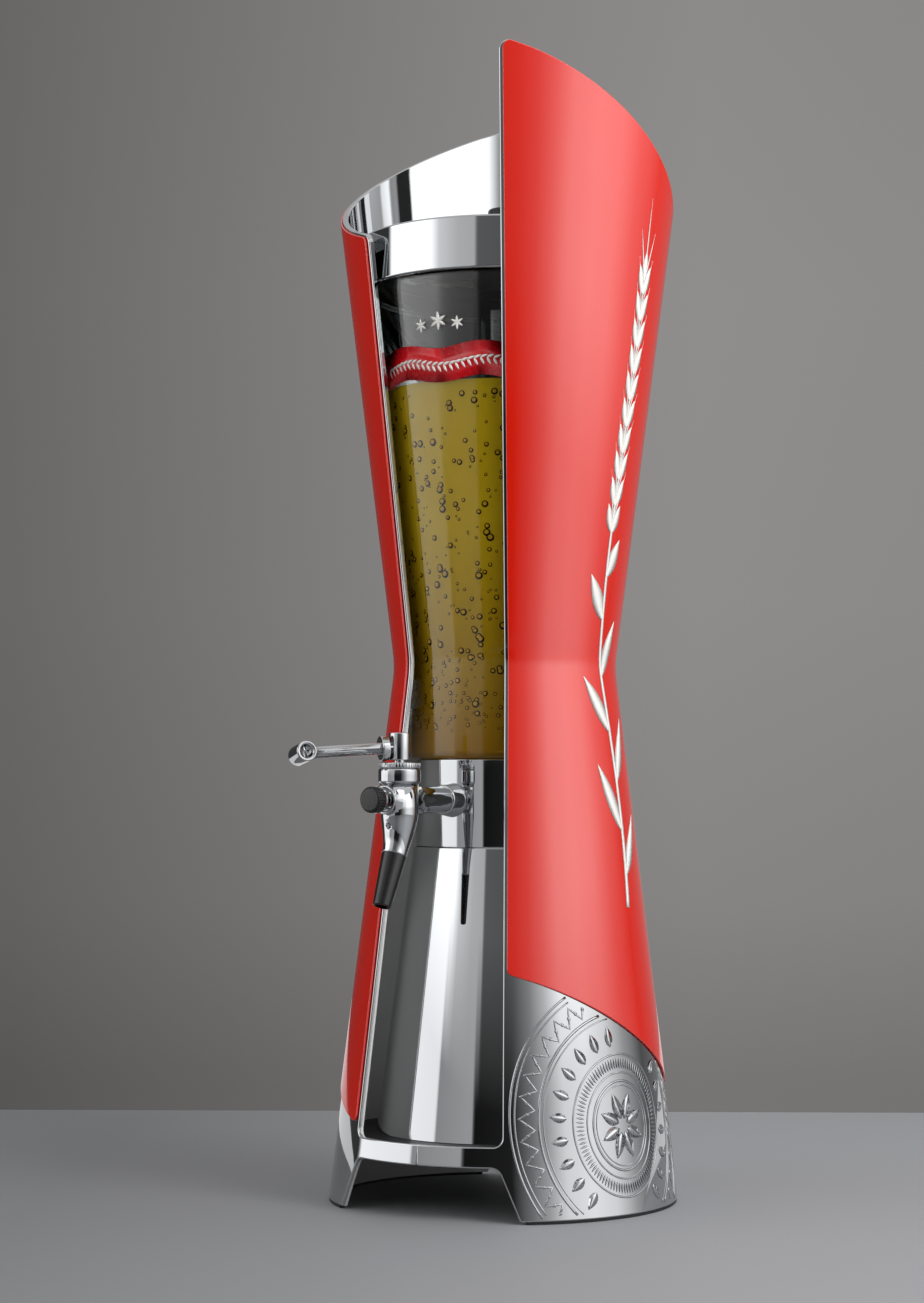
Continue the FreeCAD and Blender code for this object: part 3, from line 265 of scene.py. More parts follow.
def rolled_rim(outline, inset, thickness, edge_r):
    """Points and normals from the outer face round the edge to the inner face, for each outline point."""
    verts = []
    normals = []
    turns = [math.pi / 2 * i / RIM_STEPS for i in range(RIM_STEPS + 1)]
    for i, (azimuth, z) in enumerate(outline):
        here, normal = on_hourglass(azimuth, z, inset)
        before = on_hourglass(*outline[i - 1], inset)[0]
        after = on_hourglass(*outline[(i + 1) % len(outline)], inset)[0]
        away = (after - before).normalized().cross(normal).normalized()
        outer = here - (normal + away) * edge_r
        inner = here - normal * (thickness - edge_r) - away * edge_r
        for middle, first, second in ((outer, normal, away), (inner, away, -normal)):
            for turn in turns:
                direction = first * math.cos(turn) + second * math.sin(turn)
                verts.append(middle + direction * edge_r)
                normals.append(direction)
    return verts, normals


def inside_points(flat):
    """Points on a grid inside a flat outline, kept half a step away from its sides."""
    low = Vector((min(p.x for p in flat), min(p.y for p in flat)))
    high = Vector((max(p.x for p in flat), max(p.y for p in flat)))
    columns = int((high.x - low.x) / SHEET_STEP)
    rows = int((high.y - low.y) / SHEET_STEP)
    points = []
    for row in range(1, rows):
        z = low.y + (high.y - low.y) * row / rows
        crossings = sorted(a.x + (b.x - a.x) * (z - a.y) / (b.y - a.y)
                           for a, b in zip(flat, flat[1:] + flat[:1]) if (a.y <= z) != (b.y <= z))
        for left, right in zip(crossings[::2], crossings[1::2]):
            for column in range(columns + 1):
                x = low.x + (high.x - low.x) * column / columns
                if left + SHEET_STEP / 2 < x < right - SHEET_STEP / 2:
                    points.append(Vector((x, z)))
    return points


def lay_sheet(name, outline, inset, thickness, edge_r, material):
    """A closed sheet with rolled edges; outline is azimuth and height, counter-clockwise from outside."""
    count = len(outline)
    verts, normals = rolled_rim(outline, inset, thickness, edge_r)
    ring = len(verts) // count
    faces = []
    for i in range(count):
        j = (i + 1) % count
        for k in range(ring - 1):
            faces.append((i * ring + k, j * ring + k, j * ring + k + 1, i * ring + k + 1))
    # the two faces share one triangulation, in the plane of azimuth times waist radius and height
    flat = [Vector((math.atan2(p.x, -p.y) * WAIST_R, p.z)) for p in verts[::ring]]
    boundary = [(i, (i + 1) % count) for i in range(count)]
    flat_verts, _, triangles, origin, _, _ = delaunay_2d_cdt(
        flat + inside_points(flat), boundary, [], 1, 1e-5)
    place = {}
    for side, shift, flip in ((0, 0.0, 1), (ring - 1, thickness, -1)):
        for v, p in enumerate(flat_verts):
            first = origin[v][0]
            if first < count:
                place[side, v] = first * ring + side
                continue
            here, normal = on_hourglass(p.x / WAIST_R, p.y, inset)
            place[side, v] = len(verts)
            verts.append(here - normal * shift)
            normals.append(normal * flip)
        for triangle in triangles:
            corners = [place[side, v] for v in triangle]
            faces.append(tuple(corners[::flip]))
    return mesh_piece(name, verts, normals, faces, material)


def placed(name, data):
    """An object with this mesh, lamp or camera, put into the scene."""
    made = bpy.data.objects.new(name, data)
    bpy.context.scene.collection.objects.link(made)
    return made


def mesh_piece(name, verts, normals, faces, material):
    """An object from points in millimetres, shaded with these normals, its faces turned to agree."""
    turned_faces = []
    for face in faces:
        a, b, c = (verts[i] for i in face[:3])
        agrees = (b - a).cross(c - b).dot(sum((normals[i] for i in face), Vector())) >= 0
        turned_faces.append(face if agrees else face[::-1])
    mesh = bpy.data.meshes.new(name)
    mesh.from_pydata([v * MM for v in verts], [], turned_faces)
    mesh.shade_smooth()
    mesh.normals_split_custom_set_from_vertices([n.normalized() for n in normals])
    mesh.materials.append(material)
    return placed(name, mesh)


def seat(piece, body, slot, *replaced):
    """The piece rides on its body and stands for CAD nodes, which are hidden. The slot is not used."""
    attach(piece, body)
    if replaced:
        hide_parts(*replaced)


def seat_both(right, slot, *replaced):
    """Seats a piece of the right half, and its copy turned to the tower's left side."""
    mesh = right.data.copy()
    mesh.transform(Matrix.Rotation(math.pi, 4, "Z"))
    left = placed(right.name.replace("right", "left"), mesh)
    seat(right, "tower", slot, *replaced[:1])
    seat(left, "tower", slot, *replaced[1:])


def place_in(tree, coordinates="Object", turn=0.0):
    """X, Y and Z of the shaded point in metres, or of the direction, in axes turned this far about Z."""
    place = add(tree, "ShaderNodeTexCoord").outputs[coordinates]
    seen = add(tree, "ShaderNodeMapping", {"Rotation": (0, 0, -turn)}, Vector=place)
    return add(tree, "ShaderNodeSeparateXYZ", Vector=seen.outputs[0]).outputs


def tinted(material, share, low, high):
    """The material's colour passes from low to high as share goes from 0 to 1."""
    tree = material.node_tree
    mix = add(tree, "ShaderNodeMix", {"data_type": "RGBA", 6: linear(low), 7: linear(high)}, _0=share)
    tree.links.new(mix.outputs[2], surface_of(material).inputs["Base Color"])


# bright chromium over polished nickel: a mirror with a faint haze from the polishing wheel
chrome, shell_chrome = (finish(name, CHROME, (14, 0.02, 0.045, 0), Metallic=1.0, Roughness=0.03)
                        for name in ("Polished chrome plate", "Chrome plate on pressed steel"))
# the shells' inner faces are polished where they show; down behind the container they are white instead of
# chrome, a painted light that brightens what the pedestal and neck reflect
tree = shell_chrome.node_tree
surface = surface_of(shell_chrome)
low_down = add(tree, "ShaderNodeMapRange", Value=place_in(tree)["Z"], settings={
    "From Min": (WHITE_UP_TO_Z + WHITE_FADE) * MM, "From Max": WHITE_UP_TO_Z * MM})
white = add(tree, "ShaderNodeMath", {"operation": "MULTIPLY"}, _0=low_down.outputs[0],
            _1=add(tree, "ShaderNodeAttribute", {"attribute_name": "inner_face"}).outputs["Fac"]).outputs[0]
blend = add(tree, "ShaderNodeMix", {"data_type": "FLOAT", 3: WHITE_ROUGHNESS}, _0=white,
            _2=surface.inputs["Roughness"].links[0].from_socket)
tree.links.new(blend.outputs[0], surface.inputs["Roughness"])
metal = add(tree, "ShaderNodeMath", {"operation": "SUBTRACT", 0: 1.0}, _1=white)
tree.links.new(metal.outputs[0], surface.inputs["Metallic"])
tinted(shell_chrome, white, CHROME, PAINTED_LIGHT_WHITE)


def shell_side(back):
    """One side of a shell: down the window's edge, round the sill and the foot notch, to the table."""
    upper, place = window_side(0, TOP_CUT_Z, TOP_CORNER_R, PANEL_T, back)
    sill_end = -math.sin(WINDOW_HALF) * waist(NOTCH_TOP_Z, PANEL_T)[0] + SILL_END_GAP
    notch_foot = NOTCH_TOP_OUT + NOTCH_SPREAD * (1 - FOOT_Z / NOTCH_TOP_Z)
    points = upper + [
        (0, SILL_TOP_Z),
        (sill_end, SILL_TOP_Z),
        (sill_end, NOTCH_TOP_Z),
        (NOTCH_TOP_OUT, NOTCH_TOP_Z),
        (notch_foot, FOOT_Z),
        (notch_foot + FOOT_RUN, FOOT_Z),
    ]
    radii = [TOP_CORNER_R, 0, WINDOW_CORNER_R, SHARP_R, SHARP_R, NOTCH_CORNER_R, SHARP_R]
    return [place(p) for p in stepped(rounded(points, radii)[0], SHEET_STEP)]


shell_outline = close_outline(shell_side(False), shell_side(True), TOP_CUT_Z, PANEL_T, lambda azimuth: FOOT_Z)
shell_right = lay_sheet("shell_sheet_right", shell_outline, PANEL_T, SHELL_T, ROLLED_EDGE_R, shell_chrome)
middle = [waist(v.co.z / MM, PANEL_T + SHELL_T / 2)[0] * MM for v in shell_right.data.vertices]
inner_face = shell_right.data.attributes.new("inner_face", "FLOAT", "POINT")
inner_face.data.foreach_set("value", [
    float(math.hypot(v.co.x, v.co.y) < r) for v, r in zip(shell_right.data.vertices, middle)])
seat_both(shell_right, "chrome", "shell_right", "shell_left")


# --- lacquered panels
# A thin steel skin, sprayed and clear-lacquered red, is bonded to the outside of each shell. Its edges are
# folded smooth, and a narrow line of bare chrome is left round it.
PANEL_FILM = 0.1
PANEL_CUT_Z = 71.0
PANEL_SIDE_MARGIN = 1.5
PANEL_TOP_MARGIN = 0.8
PANEL_CORNER_R = 3.0
PANEL_EDGE_R = 0.4
LACQUER_RED = "DA1D08"

# red under a thick clear coat: a deep colour with sharp reflections, and the slight orange peel of spraying
lacquer = finish("Clear-coated red lacquer", LACQUER_RED, (5.0, 0.35, 0.45, 0.004), Roughness=0.4,
                 Specular_IOR_Level=0.0, Coat_Weight=1.0, Coat_Roughness=0.07, Coat_IOR=1.95)


def panel_side(back):
    """One side of a panel, from its slanted top to its slanted lower edge."""
    upper, place = window_side(PANEL_SIDE_MARGIN, TOP_CUT_Z - PANEL_TOP_MARGIN, PANEL_CORNER_R, 0, back)

    def foot(a):
        return a, settled(PANEL_CUT_Z, lambda z: slant(PANEL_CUT_Z, place((a, z)).x, 0))

    points = upper + [foot(PANEL_SIDE_MARGIN), foot(PANEL_SIDE_MARGIN + 4 * PANEL_CORNER_R)]
    return [place(p) for p in stepped(rounded(points, [PANEL_CORNER_R, 0, PANEL_CORNER_R])[0], SHEET_STEP)]


panel_outline = close_outline(panel_side(False), panel_side(True), TOP_CUT_Z - PANEL_TOP_MARGIN, 0,
                              lambda azimuth: slant(PANEL_CUT_Z, azimuth, 0))
panel_right = lay_sheet("panel_skin_right", panel_outline, 0, PANEL_T - PANEL_FILM, PANEL_EDGE_R, lacquer)
seat_both(panel_right, "red_lacquer", "panel_right", "panel_left")


# --- printed barley on the panels
# A white screen print runs up each panel: a winding stem with leaves, and an ear of barley with its awns.
# The ink is a thick gloss enamel that stands a little proud of the lacquer.
PRINT_WHITE = "F4F1EC"
INK_T = 0.14
STEM_FOOT_Z = 128.0
STEM_TIP_Z = 392.0
STEM_SWAY = 5.0           # to each side at the foot, and a quarter of it at the tip
STEM_WAVES = 1.15
STEM_START = 0.5
STEM_CALM = 0.75
STEM_AHEAD = 0.01         # share of the stem's height over which its heading is taken
STEM_HALF_W = 1.5
STEM_TAPER = 0.7
STEM_STEPS = 90
EAR_FROM = 0.6            # shares of the stem's height between which the ear's grains grow
EAR_TO = 0.98
LEAVES = [                # place up the stem, side and length
    (0.05, 1, 30), (0.12, -1, 32), (0.2, 1, 30), (0.28, -1, 28), (0.37, 1, 26), (0.46, -1, 22), (0.53, 1, 18),
]
LEAF_HALF_W = 3.6
LEAF_TILT = 26.0          # degrees from the stem
GRAIN_L = 13.0
GRAIN_HALF_W = 2.6
GRAIN_TILT = 20.0
GRAIN_PAIRS = 10
AWN_L = 22.0
AWN_HALF_W = 0.45
AWN_TILT = 15.0
AWN_AHEAD = 0.02          # an awn starts this much further up than its grain
ALMOND_TIP = 0.03         # least half width of a leaf or grain
ALMOND_LOW = 0.8          # below 1, a leaf or grain is widest under its middle
ALMOND_FULL = 0.9         # below 1, its sides are fuller than a sine
PRINT_MIDDLE = math.radians(87)

# screen-printed enamel: an even, opaque white with a soft gloss
ink = finish("White enamel print", PRINT_WHITE, (2.0, 0.25, 0.38, 0.005), Roughness=0.3)


def strip(line, halves, low, high, closed=False):
    """A thin closed strip along a flat line, in millimetres: edges at height low, middle at height high."""
    verts = []
    faces = []
    count = len(line)
    for i, (here, half) in enumerate(zip(line, halves)):
        ahead = line[(i + 1) % count] if closed or i < count - 1 else here
        behind = line[i - 1] if closed or i > 0 else here
        side = right_of(ahead - behind) * half
        verts += [Vector((*(here - side), low)), Vector((*here, high)), Vector((*(here + side), low))]
    for i in range(count if closed else count - 1):
        a = 3 * i
        b = 3 * ((i + 1) % count)
        faces += [(a, a + 1, b + 1, b), (a + 1, a + 2, b + 2, b + 1), (a + 2, a, b, b + 2)]
    if not closed:
        faces += [(0, 2, 1), (3 * count - 3, 3 * count - 2, 3 * count - 1)]
    return verts, faces


def almond(steps=12):
    """A pointed oval one long and two half widths wide, from the origin up the Y axis."""
    shares = [i / steps for i in range(steps + 1)]
    halves = [max(ALMOND_TIP, math.sin(math.pi * t ** ALMOND_LOW) ** ALMOND_FULL) for t in shares]
    return strip([Vector((0, t)) for t in shares], halves, 0.5, 1.0)


def repeated(name, unit, spots, material):
    """One plain mesh of a unit set on many spots by Geometry Nodes; a spot is place, turn and scale."""
    unit_mesh = bpy.data.meshes.new(name + "_unit")
    unit_mesh.from_pydata(unit[0], [], unit[1])
    unit_object = bpy.data.objects.new(name + "_unit", unit_mesh)
    points = bpy.data.meshes.new(name + "_spots")
    points.from_pydata([spot[0] for spot in spots], [], [])
    for key, place in (("turn", 1), ("stretch", 2)):
        values = points.attributes.new(key, "FLOAT_VECTOR", "POINT")
        values.data.foreach_set("vector", [c for spot in spots for c in spot[place]])
    tree = bpy.data.node_groups.new(name + "_nodes", "GeometryNodeTree")
    for title, way, kind in (("Spots", "INPUT", "Geometry"), ("Unit", "INPUT", "Object"),
                             ("Size", "INPUT", "Float"), ("Finish", "INPUT", "Material"),
                             ("Geometry", "OUTPUT", "Geometry")):
        tree.interface.new_socket(title, in_out=way, socket_type="NodeSocket" + kind)
    given = add(tree, "NodeGroupInput").outputs
    turn, stretch = (add(tree, "GeometryNodeInputNamedAttribute", {
        "data_type": "FLOAT_VECTOR", "Name": key}).outputs[0] for key in ("turn", "stretch"))
    sized = add(tree, "ShaderNodeVectorMath", {"operation": "SCALE"}, Vector=stretch, Scale=given["Size"])
    put = add(tree, "GeometryNodeInstanceOnPoints", Points=given["Spots"],
              Instance=add(tree, "GeometryNodeObjectInfo", Object=given["Unit"]).outputs["Geometry"],
              Rotation=add(tree, "FunctionNodeEulerToRotation", Euler=turn).outputs[0],
              Scale=sized.outputs[0])
    real = add(tree, "GeometryNodeRealizeInstances", Geometry=put.outputs[0])
    coated = add(tree, "GeometryNodeSetMaterial", Geometry=real.outputs[0], Material=given["Finish"])
    add(tree, "NodeGroupOutput", Geometry=coated.outputs[0])
    holder = placed(name + "_spots", points)
    modifier = holder.modifiers.new("repeat", "NODES")
    modifier.node_group = tree
    sockets = {item.name: item.identifier for item in tree.interface.items_tree if item.in_out == "INPUT"}
    modifier[sockets["Unit"]] = unit_object
    modifier[sockets["Size"]] = 1.0
    modifier[sockets["Finish"]] = material
    graph = bpy.context.evaluated_depsgraph_get()
    mesh = bpy.data.meshes.new_from_object(holder.evaluated_get(graph), depsgraph=graph)
    holder.modifiers.clear()
    bpy.data.objects.remove(holder)
    bpy.data.objects.remove(unit_object)
    for key in ("turn", "stretch"):
        if key in mesh.attributes:
            mesh.attributes.remove(mesh.attributes[key])
    mesh.materials.clear()
    mesh.materials.append(material)
    return mesh


def wrapped(name, unit, spots, material, lay, extra=()):
    """An object from a repeated unit and extra strips in flat millimetres, each point set by lay."""
    mesh = repeated(name, unit, spots, material)
    build = bmesh.new()
    build.from_mesh(mesh)
    for verts, faces in extra:
        made = [build.verts.new(v) for v in verts]
        for face in faces:
            build.faces.new([made[i] for i in face])
    for vert in build.verts:
        vert.co = lay(vert.co) * MM
    bmesh.ops.recalc_face_normals(build, faces=build.faces)
    build.to_mesh(mesh)
    build.free()
    mesh.shade_smooth()
    mesh.polygons.foreach_set("material_index", [0] * len(mesh.polygons))
    mesh.name = name
    return placed(name, mesh)


def round_shell(middle, inset):
    """Lays a flat point on the hourglass face round this azimuth, as far proud of it as its own height."""
    return lambda v: on_hourglass(middle + v.x / waist(max(v.y, 0), inset)[0], v.y, inset - v.z)[0]


def stem(share):
    """The stem's place across and up the panel."""
    across = STEM_SWAY * math.sin(2 * math.pi * STEM_WAVES * share + STEM_START) * (1 - STEM_CALM * share)
    return Vector((across, STEM_FOOT_Z + (STEM_TIP_Z - STEM_FOOT_Z) * share))


def off_stem(share, side, tilt, half_w, length):
    """A spot on the stem for an almond that leans to one side."""
    here = stem(share)
    heading = stem(share + STEM_AHEAD) - here
    turn = math.atan2(heading.y, heading.x) - math.pi / 2 - side * math.radians(tilt)
    return (here.x, here.y, 0), (0, 0, turn), (half_w, length, INK_T)


shares = [i / STEM_STEPS for i in range(STEM_STEPS + 1)]
stem_halves = [STEM_HALF_W * (1 - STEM_TAPER * t) for t in shares]
stem_strip = strip([stem(t) for t in shares], stem_halves, INK_T / 2, INK_T)
spots = [off_stem(share, side, LEAF_TILT, LEAF_HALF_W, length) for share, side, length in LEAVES]
for i in range(GRAIN_PAIRS):
    share = EAR_FROM + (EAR_TO - EAR_FROM) * i / (GRAIN_PAIRS - 1)
    for side in (-1, 1):
        spots.append(off_stem(share, side, GRAIN_TILT, GRAIN_HALF_W, GRAIN_L))
        spots.append(off_stem(share + AWN_AHEAD, side, AWN_TILT, AWN_HALF_W, AWN_L))
spots.append(off_stem(1.0, 0, 0, GRAIN_HALF_W, GRAIN_L))
spots.append(off_stem(1.0, 0, 0, AWN_HALF_W, AWN_L + GRAIN_L))
seat_both(wrapped("barley_print_right", almond(), spots, ink, round_shell(PRINT_MIDDLE, 0), [stem_strip]),
          "red_lacquer")


# --- raised seal on the foot
# A round seal is pressed into each shell's foot before chroming: plain rings, a band of zigzags, a ring of
# fine ticks and a rosette in the middle. The foot's edge and the panel cut it off.
SEAL_AZIMUTH = math.radians(74)
SEAL_Z = 38.0
SEAL_TALL = 1.15          # the seal is a little taller than wide
SEAL_STEPS = 120          # facets round a ring
SEAL_EDGE_GAP = 1.0
SEAL_ROOT = -0.05         # the raised lines reach this far into the foot's face
RELIEF = 0.3
FOOT_R = 70.0             # the foot's radius, about the middle of the seal's height
RINGS = [                 # radius and half width
    (52.5, 0.55), (50.5, 0.4), (40.5, 0.7), (38.6, 0.35),
    (25.6, 0.5), (19.0, 0.45), (16.0, 0.6), (14.4, 0.35),
]
ZIGZAG_IN_R = 42.3
ZIGZAG_OUT_R = 48.8
ZIGZAGS = 38
ZIGZAG_HALF_W = 0.5
SPOKES = [                # how many, inner and outer end, half width
    (96, 20.4, 24.4, 0.42),                # fine ticks
    (24, 28.5, 36.0, 2.1),                 # petals
    (2 * ZIGZAGS, 44.6, 46.4, 0.7),        # beads in the zigzags
    (8, 2.5, 12.5, 2.6),                   # rosette
]


def on_seal(radius, turn):
    """The flat point at this radius and turn round the seal's middle."""
    return Vector((radius * math.cos(turn), SEAL_Z + SEAL_TALL * radius * math.sin(turn)))


def on_foot(point):
    """Whether this flat point lies on the foot, clear of its edge, the notches and the panel."""
    azimuth = SEAL_AZIMUTH + point.x / waist(max(point.y, 0), PANEL_T)[0]
    side = min(azimuth, math.pi - azimuth) - WINDOW_HALF
    notch = (NOTCH_TOP_OUT + NOTCH_SPREAD * (1 - point.y / NOTCH_TOP_Z) + SEAL_EDGE_GAP) / FOOT_R
    return (point.y > FOOT_Z + SEAL_EDGE_GAP and side > max(notch, SEAL_EDGE_GAP / FOOT_R)
            and point.y < slant(PANEL_CUT_Z, azimuth, 0) - SEAL_EDGE_GAP)


def kept_runs(line, half):
    """Strips along the stretches of a closed line that lie on the foot."""
    kept = [on_foot(p) for p in line]
    if all(kept):
        return [strip(line, [half] * len(line), SEAL_ROOT, RELIEF, closed=True)]
    start = kept.index(False)
    runs = [[]]
    for point, stays in zip(line[start:] + line[:start], kept[start:] + kept[:start]):
        if stays:
            runs[-1].append(point)
        else:
            runs.append([])
    return [strip(run, [half] * len(run), SEAL_ROOT, RELIEF) for run in runs if len(run) > 1]


seal_lines = []
for radius, half in RINGS:
    circle = [on_seal(radius, 2 * math.pi * i / SEAL_STEPS) for i in range(SEAL_STEPS)]
    seal_lines += kept_runs(circle, half)
corners = [on_seal((ZIGZAG_IN_R, ZIGZAG_OUT_R)[i % 2], math.pi * i / ZIGZAGS) for i in range(2 * ZIGZAGS)]
zigzag = []
for a, b in zip(corners, corners[1:] + corners[:1]):
    zigzag += [a.lerp(b, i / 4) for i in range(4)]
seal_lines += kept_runs(zigzag, ZIGZAG_HALF_W)


def spoke(turn, inner, outer, half):
    """A spot for an almond along a spoke of the seal, or none where the foot ends."""
    start = on_seal(inner, turn)
    end = on_seal(outer, turn)
    if not (on_foot(start) and on_foot(end)):
        return []
    along = end - start
    heading = math.atan2(along.y, along.x) - math.pi / 2
    return [((start.x, start.y, 0), (0, 0, heading), (half, along.length, RELIEF))]


spots = []
for count, inner, outer, half in SPOKES:
    for i in range(count):
        spots += spoke(2 * math.pi * (i + 0.5) / count, inner, outer, half)
on_right_foot = round_shell(SEAL_AZIMUTH, PANEL_T)
seat_both(wrapped("foot_seal_right", almond(6), spots, chrome, on_right_foot, seal_lines), "chrome")


# --- pedestal and neck
# A spun steel cone stands on the deck inside the shells, and a drawn steel cup stands on the cone. Both are
# polished and chromed like the shells.
PEDESTAL_TOP_R = 39.7
PEDESTAL_FOOT_R = 55.08
PEDESTAL_TOP_Z = 153.0
PEDESTAL_WALL = 1.6
DECK_TOP_Z = 30.0
FLANGE_IN_R = 45.5
FLANGE_T = 3.0
PEDESTAL_PLATE = 2.4
TIE_HOLE_R = 4.3
NECK_R = 38.5
NECK_TOP_Z = 190.6
NECK_WALL = 1.8
NECK_FLOOR = 3.0
TURNED_EDGE_R = 0.5
ROUND_STEPS = 144         # facets round the tower's axis
TURNED_ARC_STEP = 0.3


def turned(name, profile, material, around=ROUND_STEPS):
    """A turned piece; profile is (radius, height, corner radius), closed, or open from axis to axis."""
    points = [Vector(p[:2]) for p in profile]
    radii = [p[2] for p in profile]
    open_line = points[0].x == 0 and points[-1].x == 0
    if open_line:
        line, sides = rounded(points, radii[1:-1], TURNED_ARC_STEP)
    else:
        start = (points[-1] + points[0]) / 2
        line, sides = rounded([start] + points + [start], radii, TURNED_ARC_STEP)
        line, sides = line[:-1], sides[:-1]
    area = sum(a.x * b.y - b.x * a.y for a, b in zip(line, line[1:] + line[:1]))
    outwards = 1 if area > 0 else -1
    verts = []
    normals = []
    rings = []
    for p, side in zip(line, sides):
        on_axis = open_line and p.x < 1e-6
        rings.append([len(verts) + (0 if on_axis else i % around) for i in range(around + 1)])
        for i in range(1 if on_axis else around):
            turn = 2 * math.pi * i / around
            spoke = Vector((math.cos(turn), math.sin(turn), 0))
            verts.append(spoke * p.x + Vector((0, 0, p.y)))
            normal = Vector((0, 0, side.y)) if on_axis else spoke * side.x + Vector((0, 0, side.y))
            normals.append(normal * outwards)
    faces = []
    for here, there in zip(rings, rings[1:] + ([] if open_line else rings[:1])):
        for i in range(around):
            faces.append(tuple(dict.fromkeys((here[i], here[i + 1], there[i + 1], there[i]))))
    return mesh_piece(name, verts, normals, faces, material)


edge = TURNED_EDGE_R
seat(turned("pedestal_cone", [
    (PEDESTAL_FOOT_R, DECK_TOP_Z, edge / 2),
    (PEDESTAL_TOP_R, PEDESTAL_TOP_Z, edge),
    (TIE_HOLE_R, PEDESTAL_TOP_Z, edge / 4),
    (TIE_HOLE_R, PEDESTAL_TOP_Z - PEDESTAL_PLATE, edge / 4),
    (PEDESTAL_TOP_R - PEDESTAL_WALL, PEDESTAL_TOP_Z - PEDESTAL_PLATE, edge),
    (PEDESTAL_FOOT_R - PEDESTAL_WALL, DECK_TOP_Z + FLANGE_T, edge),
    (FLANGE_IN_R, DECK_TOP_Z + FLANGE_T, edge),
    (FLANGE_IN_R, DECK_TOP_Z, edge / 2),
], chrome), "tower", "chrome", "pedestal")
seat(turned("neck_cup", [
    (NECK_R, PEDESTAL_TOP_Z, edge),
    (NECK_R, NECK_TOP_Z, edge),
    (NECK_R - NECK_WALL, NECK_TOP_Z, edge),
    (NECK_R - NECK_WALL, PEDESTAL_TOP_Z + NECK_FLOOR, edge),
    (TIE_HOLE_R, PEDESTAL_TOP_Z + NECK_FLOOR, edge / 4),
    (TIE_HOLE_R, PEDESTAL_TOP_Z, edge / 4),
], chrome), "tower", "chrome", "neck")


# --- container and its beer
# The container is blown and polished in clear polycarbonate, with a thick wall and a narrower foot that sits
# in the neck. It is shown filled up to its printed band with a golden lager.
JAR_FOOT_R = 36.3
JAR_BOTTOM_Z = 162.2
JAR_FLOOR = 2.6
JAR_R = 40.5
JAR_CONE_Z = 234.0
JAR_CONE_TOP_Z = 390.0
JAR_TOP_R = 60.0
JAR_RIM_Z = 407.0
JAR_BEAD_H = 6.0
JAR_BEAD_R = 61.2
JAR_WALL = 2.4
JAR_SHOULDER = 3.0
TUBE_R = 12.6
TUBE_BOTTOM_Z = 205.0
BEER_TOP_Z = 349.0
WETTING = 0.25            # how far the beer reaches into the walls it touches, so that no air shows between
POLYCARBONATE = "F4F7F5"
LAGER = "FFDA28"
LAGER_SHADED = "CC921C"      # painted shade: darker low down, passing into the lit gold between these two heights
LAGER_SHADE_UP_TO_Z = 185.0
LAGER_LIT_FROM_Z = 290.0
CONE_BLEND_R = 20.0
BEER_EDGE_R = 0.2

# blown and polished polycarbonate: clear as glass, with faint waves
clear_wall = finish("Clear polycarbonate", POLYCARBONATE, (30, 0.0, 0.02, 0), Roughness=0.0, IOR=1.49,
                    Transmission_Weight=1.0)
# lager: its gold is its own colour, made mostly diffuse and bright to stand in for light shining through it
# from behind, a painted light; darker low down is painted shade
lager = finish("Golden lager", LAGER, (40, 0.0, 0.01, 0), Roughness=0.0, IOR=1.33, Specular_IOR_Level=0.1,
               Transmission_Weight=0.15)
rise = add(lager.node_tree, "ShaderNodeMapRange", Value=place_in(lager.node_tree)["Z"], settings={
    "From Min": LAGER_SHADE_UP_TO_Z * MM, "From Max": LAGER_LIT_FROM_Z * MM})
tinted(lager, rise.outputs[0], LAGER_SHADED, LAGER)
jar_in_r = JAR_R - JAR_WALL
foot_in_r = JAR_FOOT_R - JAR_WALL
step_z = NECK_TOP_Z + JAR_SHOULDER
seat(turned("clear_container", [
    (0, JAR_BOTTOM_Z, 0),
    (JAR_FOOT_R, JAR_BOTTOM_Z, 2 * edge),
    (JAR_FOOT_R, NECK_TOP_Z + edge, edge / 2),
    (JAR_R, NECK_TOP_Z + edge, 2 * edge),
    (JAR_R, JAR_CONE_Z, CONE_BLEND_R),
    (JAR_TOP_R, JAR_CONE_TOP_Z, CONE_BLEND_R),
    (JAR_TOP_R, JAR_RIM_Z - JAR_BEAD_H, edge),
    (JAR_BEAD_R, JAR_RIM_Z - JAR_BEAD_H, edge),
    (JAR_BEAD_R, JAR_RIM_Z, edge),
    (JAR_TOP_R - JAR_WALL, JAR_RIM_Z, edge),
    (JAR_TOP_R - JAR_WALL, JAR_CONE_TOP_Z, CONE_BLEND_R),
    (jar_in_r, JAR_CONE_Z, CONE_BLEND_R),
    (jar_in_r, step_z, 4 * edge),
    (foot_in_r, step_z - (jar_in_r - foot_in_r), 2 * edge),
    (foot_in_r, JAR_BOTTOM_Z + JAR_FLOOR, 4 * edge),
    (0, JAR_BOTTOM_Z + JAR_FLOOR, 0),
], clear_wall), "tower", "clear_plastic", "container")


def jar_inside(z):
    """The container's inner radius at this height."""
    return jar_in_r + FLARE * max(0, z - JAR_CONE_Z)


seat(turned("lager_in_container", [
    (0, JAR_BOTTOM_Z + JAR_FLOOR - WETTING, 0),
    (foot_in_r + WETTING, JAR_BOTTOM_Z + JAR_FLOOR - WETTING, 4 * edge),
    (foot_in_r + WETTING, step_z - (jar_in_r - foot_in_r), 2 * edge),
    (jar_in_r + WETTING, step_z, 4 * edge),
    (jar_in_r + WETTING, JAR_CONE_Z, CONE_BLEND_R),
    (jar_inside(BEER_TOP_Z) + WETTING, BEER_TOP_Z, BEER_EDGE_R),
    (TUBE_R - WETTING, BEER_TOP_Z, BEER_EDGE_R),
    (TUBE_R - WETTING, TUBE_BOTTOM_Z + TUBE_R, 0),
    (0, TUBE_BOTTOM_Z + WETTING, 0),
], lager), "tower", "clear_plastic")
